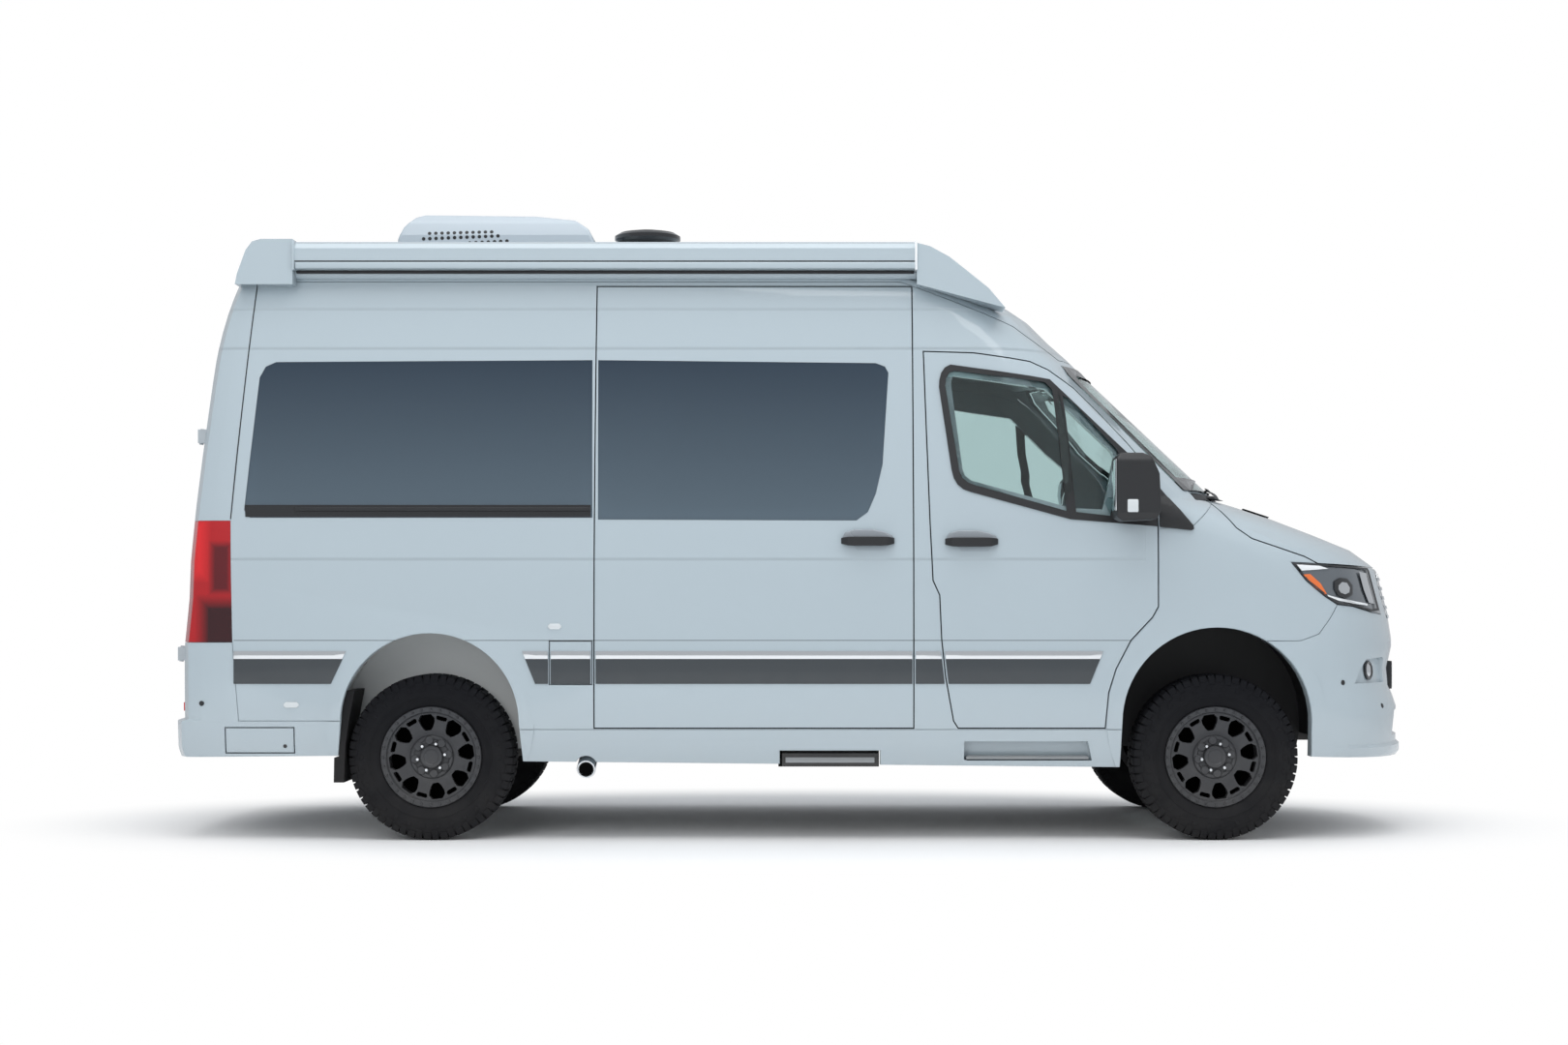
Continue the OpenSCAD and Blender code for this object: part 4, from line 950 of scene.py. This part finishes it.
def end_trim(name, points, low, high, end, body, material, slot, bevel=0.002, step=0.05, holes=()):
    piece = flat_plate(name, finer(points, step), low, high)
    for hole in holes:
        cut_hole(piece, hole, low - 0.02, high + 0.02)
    if bevel:
        bevel_edges(piece, bevel, 2, 50)
    for vertex in piece.data.vertices:
        across, height, z = vertex.co.x, -vertex.co.y, vertex.co.z
        vertex.co = (end * (end_reach(across, z, end) + height), across, z)
    steps = (FLIP, OUTWARD) if end > 0 else (OUTWARD,)
    return dress(edit(piece, *steps), body, material, slot, 35)


def box_outline(y0, y1, z0, z1, cut=0.0):
    if not cut:
        return [(y0, z0), (y1, z0), (y1, z1), (y0, z1)]
    return [(y0 + cut, z0), (y1 - cut, z0), (y1, z0 + cut), (y1, z1 - cut), (y1 - cut, z1), (y0 + cut, z1),
            (y0, z1 - cut), (y0, z0 + cut)]


def flat_on_end(name, y0, y1, z0, z1, low, high, end, body, material, slot, bevel=0.003):
    depth = max(end_reach(y, z, end) for y in (y0, (y0 + y1) / 2, y1) for z in (z0, z1))
    x0, x1 = sorted((end * (depth + low), end * (depth + high)))
    return dressed_bar(name, (x0, y0, z0), (x1, y1, z1), bevel, 2, body, material, slot)


# %% Front trim
plate_white = finish("blank_plate", (0.78, 0.79, 0.80), rough=0.4, grain=500, bump=0.03)
for i, z in enumerate((1.086, 1.132, 1.178, 1.224)):
    end_trim(f"grille_bar_{i}", box_outline(-0.425, 0.425, z - 0.0085, z + 0.0085), -0.006, 0.008, 1, "van", *CHROME,
             0.003, 0.06)
end_trim("grille_rim", box_outline(-0.455, 0.455, 1.032, 1.250, 0.02), 0.0, 0.006, 1, "van", *CHROME, 0.0025,
         0.05, [box_outline(-0.440, 0.440, 1.047, 1.236, 0.015)])
flat_on_end("plate_holder_front", -0.265, 0.265, 0.682, 0.820, -0.030, -0.004, 1, "van", *BLACK)
flat_on_end("plate_front", -0.250, 0.250, 0.692, 0.810, -0.004, 0.005, 1, "van", plate_white, "white_plastic", 0.001)
for i, z in enumerate((0.492, 0.512, 0.532, 0.552, 0.572)):
    half = 0.585 - (z - 0.47) * 0.5
    end_trim(f"intake_bar_{i}", box_outline(-half, half, z - 0.006, z + 0.006), -0.004, 0.006, 1, "van", *BLACK,
             0.002, 0.08)
SCREEN_OUT = [(-0.806, 1.642), (0.806, 1.642), (0.800, 1.700), (0.745, 2.190), (0.715, 2.238), (-0.715, 2.238),
              (-0.745, 2.190), (-0.800, 1.700)]
SCREEN_IN = [(-0.762, 1.705), (0.762, 1.705), (0.712, 2.150), (0.680, 2.192), (-0.680, 2.192), (-0.712, 2.150)]
end_trim("screen_border", SCREEN_OUT, 0.0004, 0.0016, 1, "van", *GLOSS, 0, 0.05, [SCREEN_IN])
for i, (hub, tip) in enumerate(((-0.60, 0.06), (0.08, 0.70))):
    middle = hub + 0.36
    blade = [(hub + 0.06, 1.652), (tip, 1.664), (tip, 1.673), (hub + 0.06, 1.662)]
    arm = [(hub - 0.012, 1.606), (hub + 0.020, 1.604), (middle + 0.01, 1.657), (middle - 0.01, 1.664)]
    knob = box_outline(hub - 0.026, hub + 0.026, 1.599, 1.622, 0.008)
    for part, outline, low, high, bevel, step in (("blade", blade, 0.012, 0.020, 0.002, 0.05),
                                                  ("arm", arm, 0.014, 0.028, 0.003, 0.03),
                                                  ("hub", knob, -0.004, 0.030, 0.004, 0.01)):
        end_trim(f"wiper_{part}_{i}", outline, low, high, 1, "van", *BLACK, bevel, step)
for side, label in SIDES:
    y0, y1 = sorted((side * 0.10, side * 0.40))
    end_trim(f"bonnet_vent_{label}", box_outline(y0, y1, 1.528, 1.570, 0.010), -0.001, 0.006, 1, "bonnet_body",
             *BLACK, 0.002, 0.03)

# %% [markdown]
# Small round things, such as fog lamps and parking sensors, are turned once and set square on the skin. The skin's
# direction at the spot comes from the same ray that finds its depth.

# %% Fog lamps, sensors and markers
def square_on(piece, tree, start, direction, run):
    hit, normal, _, _ = tree.ray_cast(Vector(start), Vector(direction), run)
    return fixed(piece, hit, normal.to_track_quat("Z", "Y").to_euler())


def set_on_side(piece, x, z, side):
    return square_on(piece, SIDE_TREE, (x, side * SIDE_START, z), (0, -side, 0), SIDE_RUN)


FOG_PLACE = (2.694, 0.787)
FOG_RIM = [(0.030, 0.0), (0.047, 0.0), (0.047, 0.010), (0.041, 0.014), (0.032, 0.012)]
FOG_LENS = [(0.0, 0.001), (0.034, 0.001), (0.034, 0.008), (0.024, 0.0125), (0.0, 0.0145)]
SENSOR = [(0.0, -0.002), (0.012, -0.002), (0.012, 0.002), (0.010, 0.0035), (0.0, 0.0035)]
SENSOR_PLACES = [(2.536, 0.734), (2.766, 0.618), (-2.790, 0.640)]
for side, label in SIDES:
    for part, section, look in (("rim", FOG_RIM, GLOSS), ("lens", FOG_LENS, (reflector, "lamp_clear"))):
        dress(set_on_side(turned(f"fog_{part}_{label}", section, 40), *FOG_PLACE, side), "van", *look)
    for i, place in enumerate(SENSOR_PLACES):
        dress(set_on_side(turned(f"sensor_{i}_{label}", SENSOR, 24), *place, side), "van", *BLACK)
MARKERS = [("mid", -1.179, -1.116, 0.984, 1.012), ("rear", -2.409, -2.337, 0.619, 0.647)]
marker_lens = finish("marker_lens", (0.62, 0.66, 0.68), rough=0.2, grain=200, bump=0.05, coat=0.6)
for side, label in SIDES:
    for part, x0, x1, z0, z1 in MARKERS:
        side_trim(f"marker_{part}_{label}", box_outline(x0, x1, z0, z1, 0.010), -0.002, 0.006, side, "van",
                  marker_lens, "lamp_clear", 0.003, 0.012)
LOCKS = [("hatch_lock", -1.080, 0.775, "utility_hatch_body"), ("bumper_lock", -2.405, 0.440, "bumper_hatch_body")]
for name, x, z, body in LOCKS:
    lock = turned(name, [(0.0, -0.002), (0.009, -0.002), (0.009, 0.0015), (0.0075, 0.003), (0.0, 0.003)], 24)
    dress(set_on_side(lock, x, z, -1), body, *BLACK)
print("small lamps and sensors done")

# %% [markdown]
# The mirrors are big upright housings. The frame's solid is a plain block, so its copy is rounded with a wide bevel
# and then smoothed. A glass fills the rear face and a small lamp sits low on the door side of the shell.

# %% Mirrors
mirror_glass = finish("mirror_glass", (0.80, 0.82, 0.84), rough=0.03, metal=1.0, grain=50, bump=0.0, spread=0.01)
for side, label in SIDES:
    n = f"mirror_{label}"
    soft_skin(n, *BLACK, 0.014, 4, 28)
    low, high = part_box(n)
    y0, y1 = sorted((side * 1.066, side * 1.196))
    dressed_bar(f"mirror_pane_{label}", (low.x - 0.004, y0, 1.53), (low.x + 0.004, y1, 1.765), 0.003, 3,
                f"door_front_{label}_body", mirror_glass, "bright_steel")
    y0, y1 = sorted((side * 1.150, side * 1.218))
    dressed_bar(f"mirror_lamp_{label}", (1.486, y0, 1.520), (1.540, y1, 1.583), 0.008, 3,
                f"door_front_{label}_body", marker_lens, "lamp_clear")
print("mirrors 2")

# %% [markdown]
# Each tail lamp is one tall red lens. Inside it the lower end is nearly black and a dark block stands beside the bright
# edge. The finish of the lens knows these zones by their place, so the lamp stays one smooth piece. A long black cover
# hides the sliding door's rail under the rear window.

# %% Tail lamps and door rail
bright_red = finish("bright_red_lens", (0.62, 0.015, 0.015), rough=0.10, grain=200, bump=0.05, coat=0.6)
skins["tail_lamps"] = skin("tail_lamps", red_lens, "lamp_red")
flow_normals([skins["tail_lamps"]])
side_trim("rail_cover", [(-2.588, 1.508), (-0.981, 1.508), (-0.981, 1.564), (-2.592, 1.564)], 0.0005, 0.0025, -1,
          "van", *GLOSS, 0, 0.06)
side_trim("rail_lip", [(-2.357, 1.536), (-0.981, 1.536), (-0.981, 1.553), (-2.357, 1.553)], 0.002, 0.012, -1, "van",
          *BLACK, 0.003, 0.06)

# %% [markdown]
# The rear doors carry a handle, a blank plate under a small lamp hood, and a brake lamp above. They are drawn in the
# rear view and pressed on from behind, each on the door that carries it.

# %% Rear trim
flat_on_end("plate_holder_rear", 0.125, 0.675, 0.945, 1.095, -0.020, 0.004, -1, "door_rear_left_body", *BLACK)
flat_on_end("plate_rear", 0.140, 0.660, 0.960, 1.081, 0.002, 0.007, -1, "door_rear_left_body", plate_white,
            "white_plastic", 0.001)
end_trim("plate_hood", box_outline(0.125, 0.675, 1.110, 1.150, 0.008), -0.004, 0.022, -1, "door_rear_left_body",
         *BLACK, 0.005)
end_trim("handle_rear", box_outline(-0.245, -0.035, 1.090, 1.130, 0.012), -0.003, 0.028, -1, "door_rear_right_body",
         *BLACK, 0.007)
end_trim("brake_lamp", box_outline(-0.240, 0.240, 2.540, 2.566, 0.006), -0.003, 0.008, -1, "van", bright_red,
         "lamp_red", 0.002)
for side, label in SIDES:
    edge = [(side * 0.815, 0.600), (side * 0.885, 0.600), (side * 0.885, 0.640), (side * 0.815, 0.640)]
    end_trim(f"reflector_{label}", edge, -0.002, 0.005, -1, "van", bright_red, "lamp_red", 0.002, 0.02)
print("rear trim done")

# %% [markdown]
# On the roof lies an awning case with a lead rail along its edge, an air conditioner with rows of small vents and a
# dark saucer antenna. Two black strips on the case are painted shade: one in the gap above the lead rail and one for
# the shadow under the case. The vents are short dark plugs: one is modelled and set out in rows on the slanting flank.

# %% Roof equipment
a_low, a_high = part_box("awning")
dressed_bar("awning_lead_rail", (a_low.x + 0.012, a_low.y - 0.007, 2.672), (a_high.x - 0.004, a_low.y + 0.014, 2.703),
            0.007, 3, "van", *PAINT)
# Painted shade: a black strip in the gap above the lead rail.
dressed_bar("awning_gap_shade", (a_low.x + 0.006, a_low.y - 0.0012, 2.7045), (a_high.x - 0.002, a_low.y + 0.006, 2.7100),
            0.0005, 1, "van", *BLACK)
# Painted shadow: a black strip under the case stands for the shadow gap between case and roof.
dressed_bar("awning_shadow_strip", (a_low.x + 0.010, a_low.y + 0.034, 2.655), (a_high.x - 0.010, a_low.y + 0.060, 2.668),
            0.002, 2, "van", *BLACK)
for name, x, look in (("rear", a_low.x - 0.003, PAINT), ("front", a_high.x - 0.009, (white_plastic, "white_plastic"))):
    dressed_bar(f"awning_cap_{name}", (x, a_low.y - 0.009, 2.666), (x + 0.012, a_low.y + 0.120, 2.806), 0.004, 2,
                "van", *look)
soft_skin("roof_cooler", shell_grey, "white_plastic", 0.012, 3, 24)
cooler_tree = skin_tree(["roof_cooler"])
VENT_ROWS = [  # start, height, rise, count
    (-1.828, 2.927, 0.0008, 11), (-1.857, 2.900, 0.0012, 13), (-1.630, 2.880, 0.0015, 7)]
VENT_PITCH = 0.0305
for side, label in SIDES:
    plugs = []
    for start, z, rise, count in VENT_ROWS:
        for i in range(count):
            spot = Vector((start + VENT_PITCH * i, side * 0.8, z + rise * i))
            hit, normal, _, _ = cooler_tree.ray_cast(spot, Vector((0, -side, 0)), 1.0)
            if hit is not None:
                plug = turned("plug", [(0.0, -0.002), (0.0090, -0.002), (0.0090, 0.0008), (0.0, 0.0008)], 12)
                plugs.append(fixed(plug, hit, normal.to_track_quat("Z", "Y").to_euler()))
    dress(join(plugs, f"cooler_vents_{label}"), "van", *BLACK)
band = turned("antenna_band", [(0.150, 2.932), (0.166, 2.944), (0.166, 2.962), (0.150, 2.972), (0.140, 2.950)], 48)
band.location = (sum(corner.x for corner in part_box("roof_antenna")) / 2, 0, 0)
dress(band, "van", *GLOSS)
print("cooler vents done")

# %% [markdown]
# Low on the flank are the foothold in the sill with its ribbed tread, the power step with its pale edge, and the
# polished end of the exhaust. The ribs are one bar copied along the tread.

# %% Footholds, step and exhaust
tread_metal = finish("tread_metal", (0.30, 0.32, 0.335), rough=0.4, metal=0.6, grain=250, bump=0.2, dust=0.5)


def ribbed(name, x0, x1, y0, y1, z, count, body, material, slot):
    pieces = [rounded(bar(name, (x0, y0, z - 0.014), (x1, y1, z)), 0.003, 2)]
    step = (y1 - y0) / (count + 1)
    for i in range(count):
        y = y0 + step * (i + 1)
        pieces.append(rounded(bar("rib", (x0 + 0.008, y - 0.003, z - 0.002), (x1 - 0.008, y + 0.003, z + 0.003)),
                              0.001, 1))
    return dress(join(pieces, name), body, material, slot)


for side, label in SIDES:
    y0, y1 = sorted((side * 0.932, side * 0.972))
    ribbed(f"foothold_{label}", 0.768, 1.340, y0, y1, 0.392, 3, "van", tread_metal, "bright_steel")
s_low, s_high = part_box("entry_step")
ribbed("step_tread", s_low.x + 0.012, s_high.x - 0.012, s_low.y + 0.02, s_low.y + 0.20, s_high.z - 0.001, 9,
       "entry_step_body", *BLACK)
dressed_bar("step_edge", (s_low.x + 0.016, s_low.y - 0.003, s_low.z + 0.016),
            (s_high.x - 0.016, s_low.y + 0.010, s_high.z - 0.018), 0.002, 2, "entry_step_body", tread_metal,
            "bright_steel")
# Painted shade: a black box behind the step fills the gaps beside it, where the hollow under the floor is dark.
dressed_bar("step_box", (s_low.x - 0.020, s_high.y + 0.012, s_low.z - 0.030),
            (s_high.x + 0.020, s_high.y + 0.020, s_high.z + 0.010), 0.002, 2, "van", *SHADE)
OUTLET_TURN, OUTLET_RUN = math.radians(105), 0.250
OUTLET = (-1.005, -0.720 - OUTLET_RUN * math.sin(OUTLET_TURN), 0.396 + OUTLET_RUN * math.cos(OUTLET_TURN))
TIP = [(0.0, -0.060), (0.034, -0.060), (0.034, -0.002), (0.0365, 0.004), (0.0425, 0.004), (0.0440, 0.0),
       (0.0435, -0.120), (0.0405, -0.120), (0.0405, -0.070), (0.0, -0.070)]
# The bore is a black disc inside the tip: its black is partly soot and partly painted shade of the pipe's inside.
BORE = [(0.0, 0.0005), (0.0340, 0.0005), (0.0340, 0.0020), (0.020, 0.0030), (0.0, 0.0030)]
for name, section, steps, look in (("exhaust_tip", TIP, 48, CHROME), ("exhaust_bore", BORE, 32, SHADE)):
    dress(fixed(turned(name, section, steps), OUTLET, (OUTLET_TURN, 0, 0)), "van", *look)
print("steps and exhaust done")

# %% [markdown]
# Inside are two cab seats. A seat is a plinth with three pads: cushion, back and head rest. Each pad starts as a shape
# a little smaller than its space, with raised sides. It is remeshed evenly and blown up as cloth, which crowns it,
# while the side that rests on something is held. Then the sewn channels are pressed in along their lines.

# %% Padding by cloth
def plump(piece, voxel, cap, held):
    select_only(piece)
    piece.data.remesh_voxel_size = voxel
    bpy.ops.object.voxel_remesh()
    start = [v.co.copy() for v in piece.data.vertices]
    group = piece.vertex_groups.new(name="held")
    group.add([i for i, co in enumerate(start) if held(co)], 1.0, "REPLACE")
    cloth = piece.modifiers.new("cloth", "CLOTH")
    cloth.settings.use_pressure = True
    cloth.settings.uniform_pressure_force = 4.0
    cloth.settings.effector_weights.gravity = 0.0
    cloth.settings.vertex_group_mass = "held"
    cloth.point_cache.frame_start, cloth.point_cache.frame_end = 1, 20
    for number in range(1, 21):
        bpy.context.scene.frame_set(number)
    bpy.ops.object.modifier_apply(modifier="cloth")
    bpy.context.scene.frame_set(1)
    moved = 0.0
    for v, co in zip(piece.data.vertices, start):
        away = v.co - co
        moved = max(moved, away.length)
        if away.length > cap:
            v.co = co + away * (cap / away.length)
    piece.vertex_groups.clear()
    apply_modifier(piece, "SUBSURF", levels=1, render_levels=1)
    print(piece.name, "moved", round(moved, 4), "faces", len(piece.data.polygons))
    return piece


def channel(piece, axis, place, depth, width, facing):
    direction = Vector(facing)
    normals = [v.normal.copy() for v in piece.data.vertices]
    for v, normal in zip(piece.data.vertices, normals):
        share = normal.dot(direction)
        if share > 0.3:
            away = (v.co[axis] - place) / width
            v.co -= direction * (depth * min(1.0, share * 1.5) * math.exp(-away * away))


# %% One seat in the middle of the van
pad_cloth = finish("seat_leather", (0.085, 0.078, 0.072), rough=0.5, grain=420, bump=0.45, spread=0.15)
seat_cushion = bar("seat_cushion", (0.784, -0.236, 0.903), (1.276, 0.236, 1.018), 7)
for v in seat_cushion.data.vertices:
    if v.co.z > 0.98:
        side_roll = 0.018 * min(1.0, max(0.0, abs(v.co.y) - 0.12) / 0.05)
        front_fall = 0.030 * max(0.0, (v.co.x - 1.15) / 0.126) ** 2
        v.co.z += side_roll - front_fall
plump(rounded(seat_cushion, 0.020, 2), 0.010, 0.022, lambda co: co.z < 0.912)
seat_back = bar("seat_back", (-0.036, -0.228, 1.085), (0.036, 0.228, 1.612), 7)
for v in seat_back.data.vertices:
    up = (v.co.z - 1.06) / 0.58
    if v.co.x > 0.03:
        v.co.x += 0.012 * min(1.0, max(0.0, abs(v.co.y) - 0.13) / 0.05)
    v.co.x += 0.830 - 0.090 * up
    v.co.y *= 1.0 - 0.14 * up ** 3
plump(rounded(seat_back, 0.016, 2), 0.010, 0.020, lambda co: co.x < 0.800 - 0.090 * (co.z - 1.06) / 0.58)
head_rest = bar("head_rest", (-0.028, -0.108, 1.664), (0.028, 0.108, 1.808), 5)
for v in head_rest.data.vertices:
    v.co.x += 0.740 - 0.018 * (v.co.z - 1.64) / 0.19
plump(rounded(head_rest, 0.012, 2), 0.008, 0.014, lambda co: abs(co.y) < 0.03 and co.z < 1.668)
for y in (-0.150, 0.150):
    channel(seat_cushion, 1, y, 0.007, 0.009, (0, 0, 1))
    channel(seat_back, 1, y, 0.007, 0.009, (1, 0, 0))
for x in (0.93, 1.08):
    channel(seat_cushion, 0, x, 0.005, 0.009, (0, 0, 1))
for z in (1.22, 1.36, 1.50):
    channel(seat_back, 2, z, 0.005, 0.009, (1, 0, 0))
plinth = rounded(bar("seat_plinth", (0.802, -0.178, 0.661), (1.178, 0.178, 0.899), 3), 0.018, 3)
for v in plinth.data.vertices:
    v.co.y *= 0.90 + 0.10 * (0.899 - v.co.z) / 0.238
posts = []
for y in (-0.060, 0.060):
    post = turned("post", [(0.0, 1.590), (0.006, 1.590), (0.006, 1.680), (0.0, 1.680)], 16)
    posts.append(fixed(post, (0.738, y, 0)))
posts = join(posts, "head_rest_posts")

# %% Two seats
for side, label in SIDES:
    for source, material, slot in ((seat_cushion, pad_cloth, "upholstery"), (seat_back, pad_cloth, "upholstery"),
                                   (head_rest, pad_cloth, "upholstery"), (plinth, *BLACK),
                                   (posts, *CHROME)):
        piece = copy_of(source, f"{source.name}_{label}")
        piece.location = (0, side * 0.450, 0)
        dress(piece, "van", material, slot, 60)
        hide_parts("seats")
for source in (seat_cushion, seat_back, head_rest, plinth, posts):
    bpy.data.objects.remove(source)
print("seats 2")

# %% [markdown]
# The bed lies across the rear over a chest. Its mattress is one long pad with two cross seams, where it folds. It is
# made like the seats but with larger cells, because its curves are broad.

# %% Mattress
b_low, b_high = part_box("bed_cushion")
mattress = bar("mattress", (b_low.x + 0.026, b_low.y + 0.026, b_low.z + 0.002),
               (b_high.x - 0.026, b_high.y - 0.026, b_high.z - 0.026), 9)
plump(rounded(mattress, 0.026, 3), 0.022, 0.024, lambda co: co.z < b_low.z + 0.014)
for share in (0.333, 0.667):
    channel(mattress, 0, b_low.x + (b_high.x - b_low.x) * share, 0.016, 0.018, (0, 0, 1))
bed_cloth = finish("bed_cloth", (0.42, 0.40, 0.37), rough=0.8, grain=520, bump=0.6, spread=0.1)
dress(mattress, "van", bed_cloth, "upholstery", 60)
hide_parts("bed_cushion")

# %% [markdown]
# The galley is a long cabinet behind the driver with a worktop, and the bed stands on a chest. Their solids stay. Thin
# fronts with finger pulls divide the cabinet, as doors do, and a pale top with a rounded edge lies on it.

# %% Cabinet fronts
worktop = finish("worktop", (0.56, 0.55, 0.52), rough=0.3, grain=140, bump=0.05, coat=0.3)
G_X0, G_X1, G_Y, G_TOP = -0.850, 0.560, 0.480, 1.480
dressed_bar("galley_top", (G_X0 - 0.006, G_Y - 0.012, G_TOP), (G_X1 + 0.006, 0.872, G_TOP + 0.026), 0.008, 3, "van",
            worktop, "cabinet_wood")
fronts, pulls = [], []
for i in range(4):
    x0 = G_X0 + 0.010 + 0.3500 * i
    fronts.append(rounded(bar("front", (x0, G_Y - 0.016, 0.720), (x0 + 0.340, G_Y, 1.455)), 0.004, 2))
    pulls.append(rounded(bar("pull", (x0 + 0.110, G_Y - 0.028, 1.395), (x0 + 0.230, G_Y - 0.015, 1.410)), 0.004, 2))
for i in range(2):
    y0 = -0.640 + 0.645 * i
    fronts.append(rounded(bar("front", (-1.250, y0, 0.700), (-1.234, y0 + 0.635, 1.080)), 0.004, 2))
    pulls.append(rounded(bar("pull", (-1.235, y0 + 0.250, 1.020), (-1.222, y0 + 0.385, 1.034)), 0.004, 2))
dress(join(fronts, "cabinet_fronts"), "van", cabinet, "cabinet_wood")
dress(join(pulls, "cabinet_pulls"), "van", *CHROME)

# %% [markdown]
# The dashboard's solid gets soft edges, a hood over the dials, a dark screen in the middle and four round vents. They
# sit on its sloping face, which is found with a ray from the seats.

# %% Dashboard
soft_skin("dashboard", *BLACK, 0.014, 3, 12)
dash_tree = skin_tree(["dashboard"])


def on_dash(piece, y, z, material, slot):
    return dress(square_on(piece, dash_tree, (1.0, y, z), (1, 0, 0), 1.0), "van", material, slot)


DASH_VENT = [(0.0, -0.002), (0.042, -0.002), (0.042, 0.008), (0.036, 0.011), (0.032, 0.004), (0.0, 0.004)]
screen_glass = finish("screen_glass", (0.006, 0.007, 0.009), rough=0.08, grain=50, bump=0.0, spread=0.02, coat=0.8)
DASH_PANELS = [  # name, half width, half height, thickness, bevel, place across, place up
    ("dash_screen", 0.150, 0.075, 0.010, 0.004, 0.0, 1.320), ("dash_dials", 0.150, 0.060, 0.014, 0.006, 0.450, 1.340)]
for name, half_x, half_y, thick, bevel, y, z in DASH_PANELS:
    panel = rounded(bar(name, (-half_x, -half_y, -0.004), (half_x, half_y, thick)), bevel, 2)
    on_dash(panel, y, z, screen_glass, "black_plastic")
for i, y in enumerate((-0.700, -0.260, 0.230, 0.720)):
    on_dash(turned(f"dash_vent_{i}", DASH_VENT, 40), y, 1.300, *GLOSS)
print("interior done")

low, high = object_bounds()
